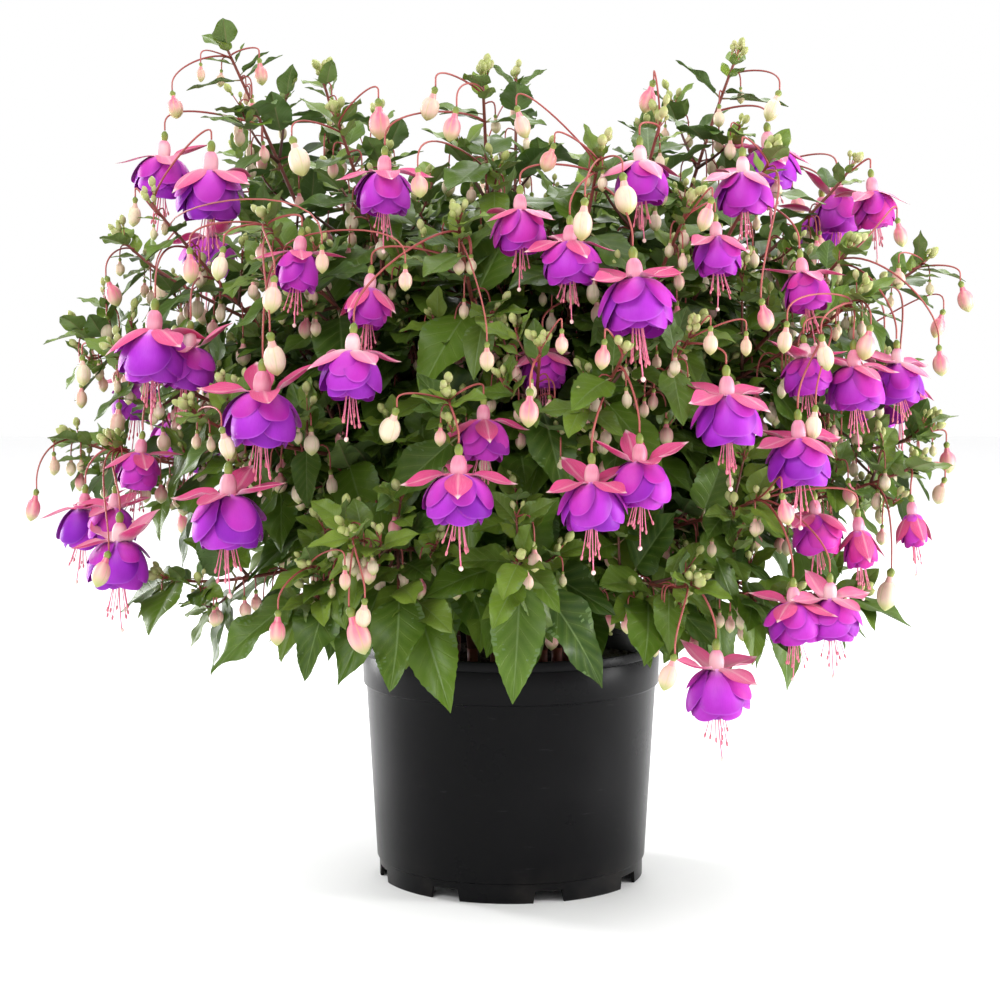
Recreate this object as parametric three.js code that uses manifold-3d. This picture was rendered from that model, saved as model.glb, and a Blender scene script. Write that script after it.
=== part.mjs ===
// A potted fuchsia: a leafy bush in full bloom in a black nursery pot that stands on the ground.
// Millimetres, +Z up. The origin is on the ground, on the axis of the pot. The front faces -Y.
// The plant grows from a ring of stems in the soil. Each stem with its shoots, leaves, buds and
// flower stalks is one solid. The open flowers hang just under the ends of their stalks.

import * as THREE from 'three';
import Module from 'manifold-3d';

const wasm = await Module();
wasm.setup();

// ---------------------------------------------------------------- driving dimensions

const pot = {
  sides: 24,
  height: 151,
  rimRadius: 95.4,        // outside of the lip
  lipHeight: 6,           // of the thicker lip at the top of the band
  lipStep: 0.6,
  bandBottom: 124.7,      // lower edge of the plain band under the lip
  bandRadius: 94.3,
  bandStep: 1.9,          // the band stands this far out from the body
  stepHeight: 12.3,       // where the body narrows to its foot
  stepRadius: 85.9,
  stepWidth: 1.3,
  footRadius: 84.4,
  footWidth: 2.2,
  wall: 1.6,
  floorUnderside: 7.6,
  floorThickness: 2,
  cornerHeight: 4,        // of the slanting corner between floor and wall, inside
  cornerWidth: 1.2,
  bandInside: 0.6,        // the wall's inside widens by this much behind the band
  notches: 8,
  notchAngle: -74,        // direction of the notch nearest the front, in degrees
  notchWidth: 20,
  notchHeight: 7.4,
  notchTaper: 0.85,       // width at the top of a notch as a share of its width at the ground
};

const soil = {
  top: 138,
  bumps: 3,
  clearance: 0.35,
  bumpyShare: 0.6,        // share of the soil's radius that carries the bumps
  holeDepth: 26,
  holeSpare: 0.6,         // free space round a stem in its hole
};

const stem = {
  sides: 4,
  sideSides: 3,           // of a side shoot
  rootRing: 40,           // radius of the ring of stems in the soil
  straight: 12,           // upright length just above the soil
  baseRadius: 3.4,
  forkRadius: 2.2,
  tipRadius: 1,
  rootShare: 0.5,         // of its radius with which a side shoot or stalk starts inside its stem
  bud: { length: 12, radius: 2.3 },     // closes the tip of a shoot
  segment: 46,            // length of one straight stretch of a bent stem
  lean: 0.75,             // how much of the way outward a shoot's tip leans
  leaving: 0.36,          // share of a shoot's reach over which it keeps its first direction
  arriving: 0.34,         // and its last one
  mainRise: 0.8,          // how steeply a main shoot leaves the soil, from 0, flat, to 1, upright
  sideRise: [0.25, 0.75], // the same of a side shoot, for a low tip and a high one
  lowTip: 180,            // height of a tip that counts as low
  tipSpan: 260,           // how much higher the high ones are
  forks: [0.1, 0.42],     // where a side shoot leaves the main one, as a share of its length
};

const bush = {
  centre: new THREE.Vector3(0, 0, 250),
  wider: 0.12,            // how much wider the bush is from side to side than from front to back
};

// The dense inside of the bush, a slice in each limb, from which the outer leaves stand out.
const core = {
  inner: 26,              // distance of its inner edge from the axis of the pot
  gap: 1.2,               // to the middle of the gap between two slices
  profile: [[166, 62], [198, 126], [258, 152], [330, 150], [392, 118], [432, 62]],
  rough: 0.04,            // share by which its outside goes in and out
  // rows of leaves on it: height, rise of the leaves in degrees, side of the slice
  rows: [[190, -28, -0.5], [238, -20, 0.5], [288, -10, -0.5], [338, 2, 0.4], [392, 20, -0.3]],
  leafLength: 58,
  leafRoot: 6,            // how deep a leaf's root lies in it
  sideShare: [0.3, 0.8],  // how far to that side of the slice a leaf stands
  pitchSpread: 16,
};

const leaf = {
  spine: 1.0,             // thickness over the midrib
  spread: 58,             // angle between leaf and stem, in degrees
  sag: 0.25,              // how much its direction turns down
  facing: [0.55, 0.8],    // how much its face looks outward, and up
  lengthSpread: [0.88, 1.14],
  young: 24,              // length of a leaf next to a shoot's tip
  grown: 50,
  reachOfYoung: 150,      // distance from the tip over which the leaves grow to full size
  youngBelow: 31,         // length under which a leaf has its simpler outline
  widthShare: 0.5,
  wave: 0.055,
  fold: 0.16,
  droop: 0.3,
  spare: 0.9,             // free space kept round a leaf
  perShoot: 1,
  turns: [0, 32, -32, 62, -62],
  youngOutline: [[0.2, 0.12], [0.52, 1]],
  outline: [[0.15, 0.09], [0.4, 1], [0.72, 0.6]],
  // the large low leaves: their blade's length and width, and how far above the tip each starts
  largeLength: 56,
  largeWidth: 31,
  largeAbove: 42,
  largeOutline: [[0.14, 0.08], [0.32, 0.88], [0.54, 1], [0.79, 0.5]],
};

const bud = {
  sides: 3,
  stalkRadius: 0.85,
  girth: 0.29,            // radius as a share of the length
  swell: [[0.28, 0.86], [0.66, 0.84]],
};

// The thin stalks of buds and flowers. Each arches out of a shoot and hangs straight at its end.
const hanging = {
  plumb: 4,               // length of the straight end
  arch: 0.36,             // height of the arch over that end, as a share of the stalk's reach
  lowestArch: 6,
  lift: 0.2,              // how steeply it leaves the shoot
  inside: 10,             // the best perch lies this far inside the bush
  long: 50,               // a stalk that reaches further has one more stretch
  choices: 16,            // perches tried
  // what is tried in turn: height of the best perch above the stalk's end, outward bulge
  tries: [[26, 0.22], [42, 0.22], [10, 0.22], [20, 0.6]],
  spare: 0.4,
};

const flower = {
  gap: 0.35,              // between the end of the stalk and the ovary
  stalkRadius: 0.85,
  columns: 6,             // corners of each layer of the skirt
  tube: [[2.6, -5.5], [1.8, -8.5], [3.4, -17]],
  tubeSides: 4,
  sepalRoot: 2.4,         // distance of a sepal's hinge from the middle of the tube
  sepalDrop: [1.2, 0.25], // how steeply the sepals hang, closed and open
  sepalCurl: [0.1, 0.75], // how far their outer half bends up again, closed and open
  sepalFold: 1,           // how far their edges lie below the middle line
  sepalMiddle: 13,        // distance along a sepal to its widest place
  sepalLength: 27,
  sepalWidth: 12,
  sepalThickness: 1.2,
  closedSkirt: 0.3,       // width of the skirt of a closed flower
  skirtTwist: 0.1,        // turn of the inner layer against the outer one
  skirtTop: -17.2,
  shoulder: [14, -23.5],
  outerEdge: [18.5, -38],
  tuck: [12.5, -34],
  innerEdge: [11.5, -43.5],
  hollow: -33,
  scallop: 1.4,           // how far each petal's edge dips below the gap beside it
  threadRadius: 0.9,
  threads: [[3.6, 5.5, -58, 1.1], [3, 1, -69, 4.8]],    // root, end, height of end, direction
};

// ---------------------------------------------------------------- the plant, limb by limb

// Each limb grows from its own hole in the soil, in the direction "way" (degrees, 0 is +X).
// shoots: tips, the first one being the limb's main shoot.
// flowers: groups that touch each other, each flower as [x, y, z, turn, lean, size, openness].
// buds: [x, y, z, length]. leaves: large low leaves as [x, y, z] of the leaf's tip.
const limbs = [
  {
    way: 182,
    shoots: [[-178, -12, 526], [-243, -16, 405], [-274, -8, 350], [-276, -20, 282], [-120, 18, 508]],
    flowers: [[[-213, -30, 471, 20, 4, 0.92, 1]], [[-238, 22, 330, 70, 5, 0.9, 1]]],
    buds: [[-155, -26, 507, 17], [-209, -24, 486, 19], [-287, -76, 244, 20], [-249, -40, 372, 20],
      [-246, -14, 292, 22]],
    leaves: [[-262, 20, 232]],
  },
  {
    way: 207,
    shoots: [[-214, -92, 426], [-234, -112, 338], [-238, -96, 282], [-206, -122, 206]],
    flowers: [
      [[-179, -76, 463, 50, 3, 1.06, 1]],
      [[-205, -138, 370, 35, 4, 1.08, 1], [-186, -128, 357, 5, 6, 0.9, 1]],
      [[-256, -84, 258, 10, 5, 0.86, 0.9]],
      [[-227, -139, 247, 40, 2, 1.0, 0.95], [-234, -110, 260, 65, 4, 0.8, 1],
        [-217, -112, 292, 20, 8, 0.78, 0.8]],
    ],
    buds: [[-256, -89, 326, 19], [-229, -168, 216, 22], [-224, -82, 420, 18]],
    leaves: [[-208, -156, 178], [-236, -88, 184]],
  },
  {
    way: 233,
    shoots: [[-101, -133, 474], [-139, -165, 414], [-180, -182, 308], [-114, -194, 222]],
    flowers: [
      [[-137, -205, 338, 12, 3, 1.08, 1]],
      [[-157, -200, 281, 70, 2, 1.08, 1]],
      [[-117, -180, 410, 10, 10, 0.8, 0.75]],
    ],
    buds: [[-124, -160, 448, 25], [-132, -216, 340, 25], [-158, -223, 292, 19], [-182, -160, 388, 21],
      [-161, -176, 389, 20], [-130, -206, 372, 22], [-75, -164, 470, 23], [-129, -214, 190, 20]],
    leaves: [[-170, -190, 168], [-118, -214, 164]],
  },
  {
    way: 256,
    shoots: [[-17, -136, 496], [-30, -202, 414], [-35, -234, 318], [-88, -226, 243]],
    flowers: [
      [[-86, -221, 358, 30, 8, 0.92, 1]],
      [[-78, -188, 389, 55, 12, 0.78, 0.7]],
      [[-71, -174, 455, 12, 4, 0.85, 1]],
      [[-29, -243, 294, 0, 3, 0.97, 1]],
      [[-16, -210, 318, 10, 4, 0.8, 0.9]],
    ],
    buds: [[-89, -231, 190, 28], [-80, -236, 200, 19], [-62, -242, 302, 22], [-43, -164, 478, 20],
      [-31, -178, 466, 20], [-52, -198, 433, 18]],
    leaves: [[-61, -238, 164], [-35, -226, 152], [-94, -206, 160]],
  },
  {
    way: 279,
    shoots: [[49, -174, 453], [15, -230, 346], [60, -226, 342], [4, -238, 232]],
    flowers: [
      [[4, -190, 433, 44, 8, 0.84, 0.9]],
      [[17, -158, 352, 48, 5, 0.74, 0.9]],
      [[31, -206, 416, 20, 4, 0.84, 1]],
      [[65, -212, 399, 45, 12, 1.06, 1]],
      [[42, -243, 289, 35, 3, 0.93, 1], [68, -234, 299, 15, 3, 0.9, 1]],
    ],
    buds: [[2, -178, 467, 19], [23, -190, 447, 17], [39, -214, 413, 24], [9, -247, 313, 21],
      [49, -238, 341, 17], [60, -199, 427, 24]],
    leaves: [[2, -238, 155], [52, -228, 166]],
  },
  {
    way: 299,
    shoots: [[98, -180, 422], [98, -213, 352], [100, -212, 214], [84, -150, 470]],
    flowers: [
      [[71, -166, 461, 25, 5, 0.85, 1]],
      [[113, -172, 418, 50, 6, 0.78, 0.9]],
      [[116, -215, 335, 45, 4, 0.98, 1]],
      [[112, -213, 184, 40, 3, 0.97, 1]],
    ],
    buds: [[80, -147, 483, 20], [110, -190, 416, 20], [88, -233, 168, 21]],
    leaves: [[76, -226, 174], [114, -196, 176]],
  },
  {
    way: 316,
    shoots: [[150, -128, 452], [139, -176, 258], [160, -152, 200], [198, -146, 372]],
    flowers: [
      [[131, -140, 456, 30, 4, 0.86, 1]],
      [[163, -150, 398, 15, 12, 0.8, 0.8]],
      [[164, -166, 350, 60, 6, 0.78, 0.9], [193, -161, 347, 22, 3, 0.9, 1]],
      [[157, -201, 310, 35, 4, 0.95, 1]],
      [[170, -174, 262, 50, 5, 0.78, 1], [195, -172, 252, 12, 5, 0.74, 0.5]],
      [[155, -205, 217, 62, 3, 0.82, 1], [176, -200, 219, 30, 3, 0.84, 1]],
    ],
    buds: [[136, -202, 361, 19], [151, -198, 349, 18], [167, -200, 302, 20], [146, -224, 256, 19],
      [171, -188, 340, 21], [203, -159, 344, 22]],
    leaves: [[152, -200, 180], [190, -176, 196]],
  },
  {
    way: 334,
    shoots: [[200, -102, 400], [236, -124, 272], [230, -110, 324], [205, -116, 196]],
    flowers: [
      [[223, -126, 346, 40, 4, 0.82, 1]],
      [[232, -130, 256, 20, 6, 0.68, 0.42]],
    ],
    buds: [[254, -90, 332, 19], [258, -97, 254, 18], [219, -146, 202, 25], [231, -72, 408, 18]],
    leaves: [[232, -132, 176]],
  },
  {
    way: 356,
    shoots: [[139, -20, 517], [211, -24, 450], [257, -28, 392], [266, -14, 286]],
    flowers: [
      [[156, -38, 476, 15, 4, 0.92, 1]],
      [[221, -30, 448, 55, 6, 0.82, 0.8]],
      [[248, 12, 330, 28, 3, 0.93, 1], [242, 39, 340, 8, 3, 0.9, 1]],
    ],
    buds: [[163, -44, 484, 21], [276, -38, 369, 20], [274, -12, 268, 20]],
    leaves: [[254, 10, 222]],
  },
  {
    way: 27,
    shoots: [[176, 96, 462], [232, 116, 344], [214, 128, 238]],
    flowers: [
      [[206, 84, 440, 87, 3, 0.93, 1], [212, 57, 450, 16, 3, 0.9, 1]],
      [[240, 106, 312, 49, 3, 0.93, 1], [225, 129, 322, 29, 3, 0.9, 1]],
    ],
    buds: [[250, 84, 256, 22], [190, 112, 430, 19], [284, 60, 350, 20]],
    leaves: [[226, 118, 178]],
  },
  {
    way: 58,
    shoots: [[96, 148, 482], [140, 196, 378], [116, 206, 258]],
    flowers: [
      [[118, 180, 430, 15, 6, 0.95, 1]],
      [[148, 198, 300, 78, 3, 0.93, 1], [124, 211, 310, 59, 3, 0.9, 1]],
    ],
    buds: [[176, 176, 330, 21], [82, 176, 446, 20], [96, 226, 236, 20]],
    leaves: [[138, 200, 170]],
  },
  {
    way: 90,
    shoots: [[4, 120, 514], [54, 214, 384], [-12, 236, 262]],
    flowers: [
      [[30, 206, 420, 40, 5, 1.0, 1]],
      [[6, 240, 318, 24, 3, 0.93, 1], [-21, 236, 328, 4, 3, 0.9, 1]],
    ],
    buds: [[-20, 196, 440, 20], [40, 236, 286, 22], [-30, 240, 230, 20]],
    leaves: [[14, 230, 166]],
  },
  {
    way: 122,
    shoots: [[-92, 146, 488], [-116, 208, 366], [-104, 214, 244]],
    flowers: [
      [[-76, 188, 430, 47, 3, 0.93, 1], [-99, 174, 440, 29, 3, 0.9, 1]],
      [[-122, 214, 306, 55, 3, 0.93, 1], [-143, 197, 316, 35, 3, 0.9, 1]],
    ],
    buds: [[-136, 180, 400, 20], [-88, 236, 268, 21], [-128, 214, 226, 18]],
    leaves: [[-112, 212, 156]],
  },
  {
    way: 153,
    shoots: [[-182, 92, 464], [-228, 122, 336], [-204, 122, 232]],
    flowers: [
      [[-200, 100, 424, 35, 5, 0.95, 1]],
      [[-214, 124, 290, 85, 3, 0.93, 1], [-224, 98, 300, 65, 3, 0.9, 1]],
    ],
    buds: [[-236, 84, 372, 21], [-170, 136, 402, 19], [-226, 118, 214, 20]],
    leaves: [[-218, 124, 170]],
  },
];

const finish = {
  pot: { color: 0x161618, roughness: 0.4, metalness: 0 },
  soil: { color: 0x2b1d14, roughness: 1, metalness: 0 },
  limb: { color: 0x3f7436, roughness: 0.55, metalness: 0 },
  flower: { color: 0xb63ac6, roughness: 0.6, metalness: 0 },
};

// ---------------------------------------------------------------- small tools

const up = new THREE.Vector3(0, 0, 1);
const vector = (x, y, z) => new THREE.Vector3(x, y, z);
const along = (from, direction, distance) => from.clone().addScaledVector(direction, distance);
const degrees = THREE.MathUtils.degToRad;
const mix = THREE.MathUtils.lerp;

// A seeded draw, the same on every run.
function draws(seed) {
  let state = seed >>> 0;
  return () => {
    state = (state + 0x6d2b79f5) >>> 0;
    let bits = Math.imul(state ^ (state >>> 15), state | 1);
    bits ^= bits + Math.imul(bits ^ (bits >>> 7), bits | 61);
    return ((bits ^ (bits >>> 14)) >>> 0) / 4294967296;
  };
}

// A closed solid through a row of rings. A ring of one point is a tip. Each ring runs
// anticlockwise about the direction in which the rings follow each other. The quads are split
// in mirrored pairs, so that the two faces of a thin blade are split alike.
function stack(rings) {
  const faces = [];
  const starts = [];
  let count = 0;
  for (const ring of rings) {
    starts.push(count);
    count += ring.length;
  }
  for (let i = 0; i + 1 < rings.length; i += 1) {
    const [a, b] = [starts[i], starts[i + 1]];
    const sides = Math.max(rings[i].length, rings[i + 1].length);
    for (let j = 0; j < sides; j += 1) {
      const k = (j + 1) % sides;
      if (rings[i].length === 1) {
        faces.push([a, b + k, b + j]);
      } else if (rings[i + 1].length === 1) {
        faces.push([a + j, a + k, b]);
      } else if (j % 2 === 0) {
        faces.push([a + j, a + k, b + j], [a + k, b + k, b + j]);
      } else {
        faces.push([a + j, a + k, b + k], [a + j, b + k, b + j]);
      }
    }
  }
  const last = rings.length - 1;
  for (let j = 1; j + 1 < rings[0].length; j += 1) faces.push([0, j + 1, j]);
  for (let j = 1; j + 1 < rings[last].length; j += 1) {
    faces.push([starts[last], starts[last] + j, starts[last] + j + 1]);
  }
  return solidOf(rings.flat(), faces);
}

function solidOf(points, faces) {
  return new wasm.Manifold(new wasm.Mesh({
    numProp: 3,
    vertProperties: new Float32Array(points.flatMap((point) => point.toArray())),
    triVerts: new Uint32Array(faces.flat()),
  }));
}

function joined(solids) {
  return solids.reduce((whole, solid) => whole.add(solid));
}

function circle(radius, z, sides, turn = 0) {
  return Array.from({ length: sides }, (_, k) => {
    const angle = turn + (k / sides) * 2 * Math.PI;
    return vector(radius * Math.cos(angle), radius * Math.sin(angle), z);
  });
}

// The rings of a tapered rod along a row of points, with flat ends square to it.
function rodRings(points, radii, sides) {
  const rings = [];
  let side = null;
  points.forEach((point, i) => {
    const before = points[Math.max(i - 1, 0)];
    const after = points[Math.min(i + 1, points.length - 1)];
    const direction = after.clone().sub(before).normalize();
    const start = side ?? vector(1, 0.02, 0.01);
    side = start.clone().addScaledVector(direction, -start.dot(direction)).normalize();
    const other = direction.clone().cross(side);
    rings.push(Array.from({ length: sides }, (_, k) => {
      const angle = (k / sides) * 2 * Math.PI;
      const reach = along(point, side, radii[i] * Math.cos(angle));
      return reach.addScaledVector(other, radii[i] * Math.sin(angle));
    }));
  });
  return rings;
}

function rod(points, radii, sides) {
  return stack(rodRings(points, radii, sides));
}

function boxesMeet(a, b) {
  const [first, second] = [a.boundingBox(), b.boundingBox()];
  return [0, 1, 2].every((i) => first.min[i] <= second.max[i] && second.min[i] <= first.max[i]);
}

function meets(a, b) {
  return boxesMeet(a, b) && !a.intersect(b).isEmpty();
}

// ---------------------------------------------------------------- pot and soil

function innerRadiusAt(z) {
  const bodyTop = pot.bandRadius - pot.bandStep;
  const share = (z - pot.stepHeight) / (pot.bandBottom - pot.stepHeight);
  return mix(pot.stepRadius, bodyTop, share) - pot.wall;
}

// A turned solid: each corner of the profile is a ring, or a point on the axis.
function turned(profile) {
  return stack(profile.map(([radius, z]) => (
    radius === 0 ? [vector(0, 0, z)] : circle(radius, z, pot.sides)
  )));
}

function makePot() {
  const bodyTop = pot.bandRadius - pot.bandStep;
  const bandTop = pot.rimRadius - pot.lipStep;
  const floorTop = pot.floorUnderside + pot.floorThickness;
  const footInside = pot.footRadius - pot.footWidth;
  const rimInside = pot.rimRadius - pot.wall;
  const cornerTop = pot.stepHeight + pot.cornerHeight;
  const shell = turned([
    [0, pot.floorUnderside],
    [footInside, pot.floorUnderside],
    [footInside, 0],
    [pot.footRadius, 0],
    [pot.stepRadius - pot.stepWidth, pot.stepHeight],
    [pot.stepRadius, pot.stepHeight + 0.5],
    [bodyTop, pot.bandBottom - 1],
    [pot.bandRadius, pot.bandBottom],
    [bandTop, pot.height - pot.lipHeight],
    [pot.rimRadius, pot.height],
    [rimInside, pot.height],
    [innerRadiusAt(pot.bandBottom) + pot.bandInside, pot.bandBottom],
    [innerRadiusAt(cornerTop), cornerTop],
    [innerRadiusAt(floorTop) - pot.cornerWidth, floorTop],
    [0, floorTop],
  ]);
  const angles = Array.from({ length: pot.notches }, (_, k) => pot.notchAngle + k * 360 / pot.notches);
  return angles.reduce((cut, angle) => cut.subtract(notch(degrees(angle))), shell);
}

// A flat-topped notch with slanting sides, cut through the foot of the pot.
function notch(angle) {
  const outward = vector(Math.cos(angle), Math.sin(angle), 0);
  const sideways = vector(-Math.sin(angle), Math.cos(angle), 0);
  const low = pot.notchWidth / 2;
  const high = low * pot.notchTaper;
  const section = [[-low, -1], [low, -1], [high, pot.notchHeight], [-high, pot.notchHeight]];
  return stack([0.9, 1.1].map((share) => {
    const middle = outward.clone().multiplyScalar(pot.footRadius * share);
    return section.map(([x, z]) => along(middle, sideways, x).addScaledVector(up, z));
  }));
}

function soilHeight(angle) {
  return soil.top + soil.bumps * 0.5 * Math.sin(3 * angle);
}

function makeSoil(stems) {
  const bottom = pot.floorUnderside + pot.floorThickness + soil.clearance;
  const cornerTop = pot.stepHeight + pot.cornerHeight;
  const inset = (z) => innerRadiusAt(z) - soil.clearance;
  const edge = inset(soil.top);
  const body = stack([
    [vector(0, 0, bottom)],
    circle(inset(bottom) - pot.cornerWidth, bottom, pot.sides),
    circle(inset(cornerTop), cornerTop, pot.sides),
    circle(edge, soil.top - soil.bumps, pot.sides),
    circle(edge * soil.bumpyShare, 0, pot.sides)
      .map((point) => point.setZ(soilHeight(Math.atan2(point.y, point.x)))),
    [vector(0, 0, soil.top)],
  ]);
  return stems.reduce((ground, hole) => ground.subtract(hole), body);
}

// ---------------------------------------------------------------- stems and shoots

// The curve of a shoot, which leaves at the given rise and leans outward at its tip.
function shootCurve(from, tip, rise) {
  const reach = tip.distanceTo(from);
  const out = tip.clone().sub(bush.centre);
  const flat = Math.hypot(out.x, out.y);
  const slope = Math.atan2(flat, out.z) * stem.lean;
  const sideways = vector(out.x / flat, out.y / flat, 0);
  const heading = sideways.multiplyScalar(Math.sin(slope)).addScaledVector(up, Math.cos(slope));
  const low = tip.clone().sub(from).setZ(0).normalize();
  const leaving = up.clone().multiplyScalar(rise).addScaledVector(low, 1 - rise).normalize();
  return new THREE.CubicBezierCurve3(
    from,
    along(from, leaving, reach * stem.leaving),
    along(tip, heading, -reach * stem.arriving),
    tip,
  );
}

// A main shoot starts upright in its hole.
function makeMainShoot(limb) {
  const way = degrees(limb.way);
  const root = vector(stem.rootRing * Math.cos(way), stem.rootRing * Math.sin(way), 0);
  const ground = root.clone().setZ(soil.top + stem.straight);
  const foot = root.clone().setZ(soil.top - soil.holeDepth + soil.clearance);
  const tip = vector(...limb.shoots[0]);
  const curve = shootCurve(ground, tip, stem.mainRise);
  const steps = Math.round(curve.getLength() / stem.segment);
  const points = [foot, ...curve.getPoints(steps)];
  return { curve, steps, points, tip, from: stem.baseRadius, taken: new Set(), main: true };
}

// A side shoot starts at a bend of the main one.
function makeSideShoot(place, main) {
  const tip = vector(...place);
  const high = THREE.MathUtils.clamp((tip.z - stem.lowTip) / stem.tipSpan, 0, 1);
  const step = Math.max(1, Math.round(mix(...stem.forks, high) * main.steps));
  const curve = shootCurve(main.curve.getPoint(step / main.steps), tip, mix(...stem.sideRise, high));
  const steps = Math.max(3, Math.round(curve.getLength() / stem.segment));
  return { curve, steps, points: curve.getPoints(steps), tip, from: stem.forkRadius, taken: new Set() };
}

// The rod of a shoot, closed at its tip by a tiny leaf bud.
function shootRod(shoot, sides) {
  const last = shoot.points.length - 1;
  const radii = shoot.points.map((_, i) => mix(shoot.from, stem.tipRadius, Math.sqrt(i / last)));
  if (!shoot.main) radii[0] *= stem.rootShare;
  const heading = shoot.curve.getTangent(1);
  const { length, radius } = stem.bud;
  const points = [...shoot.points, along(shoot.tip, heading, length * 0.4)];
  const rings = rodRings(points, [...radii, radius], sides);
  return stack([...rings, [along(shoot.tip, heading, length)]]);
}

// The free places on a limb's shoots from which something hangs well: near it, above it, inside
// it. They lie a quarter of a stretch before and behind the bends of the stems, best one first.
function perches(shoots, hung, above) {
  const inward = bush.centre.clone().setZ(hung.z).sub(hung).normalize();
  const wanted = along(hung, inward, hanging.inside).addScaledVector(up, above);
  const seats = [];
  shoots.forEach(({ points, taken }) => {
    for (let k = 1; k + 1 < points.length; k += 1) {
      for (const share of [0.25, 0.75]) {
        const point = points[k].clone().lerp(points[k + 1], share);
        const cost = point.distanceTo(wanted) + 0.5 * Math.max(0, hung.z + hanging.plumb - point.z);
        const outward = inward.clone().negate();
        const key = k + share;
        if (!taken.has(key)) seats.push({ cost, point, outward, taken, key });
      }
    }
  });
  return seats.sort((a, b) => a.cost - b.cost);
}

// The route of a stalk that leaves the shoot, arches over and hangs straight down at its end.
function stalkRoute(seat, end, bulge) {
  const reach = seat.point.distanceTo(end);
  const plumb = along(end, up, hanging.plumb);
  const curve = new THREE.CubicBezierCurve3(
    seat.point,
    along(seat.point, seat.outward, reach * bulge).addScaledVector(up, reach * hanging.lift),
    along(plumb, up, Math.max(hanging.lowestArch, reach * hanging.arch)),
    plumb,
  );
  return [...curve.getPoints(reach > hanging.long ? 3 : 2), end];
}

// A thin stalk with what hangs on it, from the best perch that keeps it clear of the flowers, and
// of what has already grown on the limb, where that can be had.
function stalk(shoots, end, radius, grown, hung = []) {
  const sides = hung.length ? hung[0].length : 3;
  let spare = null;
  for (const [above, bulge] of hanging.tries) {
    for (const seat of perches(shoots, end, above).slice(0, hanging.choices)) {
      const route = stalkRoute(seat, end, bulge);
      const rings = (extra) => {
        const radii = route.map((_, k) => (k === 0 ? radius * stem.rootShare : radius) + extra);
        const bare = rodRings(route, radii, sides);
        return hung.length ? [...bare.slice(0, -1), ...hung] : bare;
      };
      const wide = rings(hanging.spare);
      if (!flowers.some((solid) => meets(solid, stack(wide)))) {
        spare = spare ?? { seat, rings };
        if (!grown.some((solid) => meets(solid, stack(wide.slice(1))))) {
          seat.taken.add(seat.key);
          return stack(rings(0));
        }
      }
    }
  }
  if (!spare) throw new Error(`no clear stalk to ${end.toArray()}`);
  spare.seat.taken.add(spare.seat.key);
  return stack(spare.rings(0));
}

// ---------------------------------------------------------------- the inside of the bush

// The directions between which a limb has the bush to itself: half of the way to its neighbours.
function slice(limb) {
  const ways = limbs.map(({ way }) => way).sort((a, b) => a - b);
  const place = ways.indexOf(limb.way);
  const before = place === 0 ? ways[ways.length - 1] - 360 : ways[place - 1];
  const after = place === ways.length - 1 ? ways[0] + 360 : ways[place + 1];
  return { from: degrees((before + limb.way) / 2), to: degrees((limb.way + after) / 2) };
}

function coreRadius(z, angle) {
  const row = core.profile.findIndex(([height]) => height > z);
  const [[lowZ, low], [highZ, high]] = [core.profile[row - 1], core.profile[row]];
  const wide = 1 + bush.wider * Math.cos(angle) ** 2;
  return mix(low, high, (z - lowZ) / (highZ - lowZ)) * wide;
}

// One limb's slice: at each height an inner edge and three outer ones.
function makeCore(limb, draw) {
  const { from, to } = slice(limb);
  const middle = (from + to) / 2;
  const at = (radius, angle, z) => vector(radius * Math.cos(angle), radius * Math.sin(angle), z);
  return stack(core.profile.map(([z, radius]) => {
    const wide = radius * (1 + bush.wider * Math.cos(middle) ** 2);
    const [first, second, third] = [0, 1, 2].map(() => wide * (1 - core.rough * 2 * draw()));
    return [
      at(core.inner, middle, z),
      at(first, from + core.gap / first, z),
      at(second, middle, z),
      at(third, to - core.gap / third, z),
    ];
  }));
}

// ---------------------------------------------------------------- leaves

// A blade: a section with a raised midrib and two edges, which wave one up, one down in turn.
function bladeRings({ from, length, width, outline }, direction, face, spare) {
  const side = face.clone().cross(direction).normalize();
  const wave = length * leaf.wave;
  const at = (share) => along(from, direction, length * share)
    .addScaledVector(up, -length * leaf.droop * share * share * 0.5);
  const half = leaf.spine / 2 + spare;
  const rings = outline.map(([share, wide], i) => {
    const middle = at(share);
    const reach = width * 0.5 * wide + spare;
    const lift = reach * leaf.fold;
    const turn = i % 2 === 0 ? wave * wide : -wave * wide;
    return [
      along(middle, side, reach).addScaledVector(face, lift + turn),
      along(middle, face, half),
      along(middle, side, -reach).addScaledVector(face, lift - turn),
      along(middle, face, -half),
    ];
  });
  return [[from], ...rings, [at(1 + spare / length)]];
}

// A leaf is tried at a few turns about its stem, and takes the first one that is clear.
function makeLeaf(seat, isClear) {
  for (const turn of leaf.turns) {
    const direction = seat.direction.clone().applyAxisAngle(seat.axis, degrees(turn));
    const outward = seat.from.clone().sub(bush.centre).normalize();
    const facing = outward.multiplyScalar(leaf.facing[0]).addScaledVector(up, leaf.facing[1]);
    facing.addScaledVector(direction, -facing.dot(direction)).normalize();
    const rings = (spare) => bladeRings(seat, direction, facing, spare);
    const blade = stack(rings(leaf.spare));
    const outer = stack(rings(leaf.spare).slice(2));
    if (isClear(blade, outer)) return stack(rings(0));
  }
  return null;
}

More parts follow.
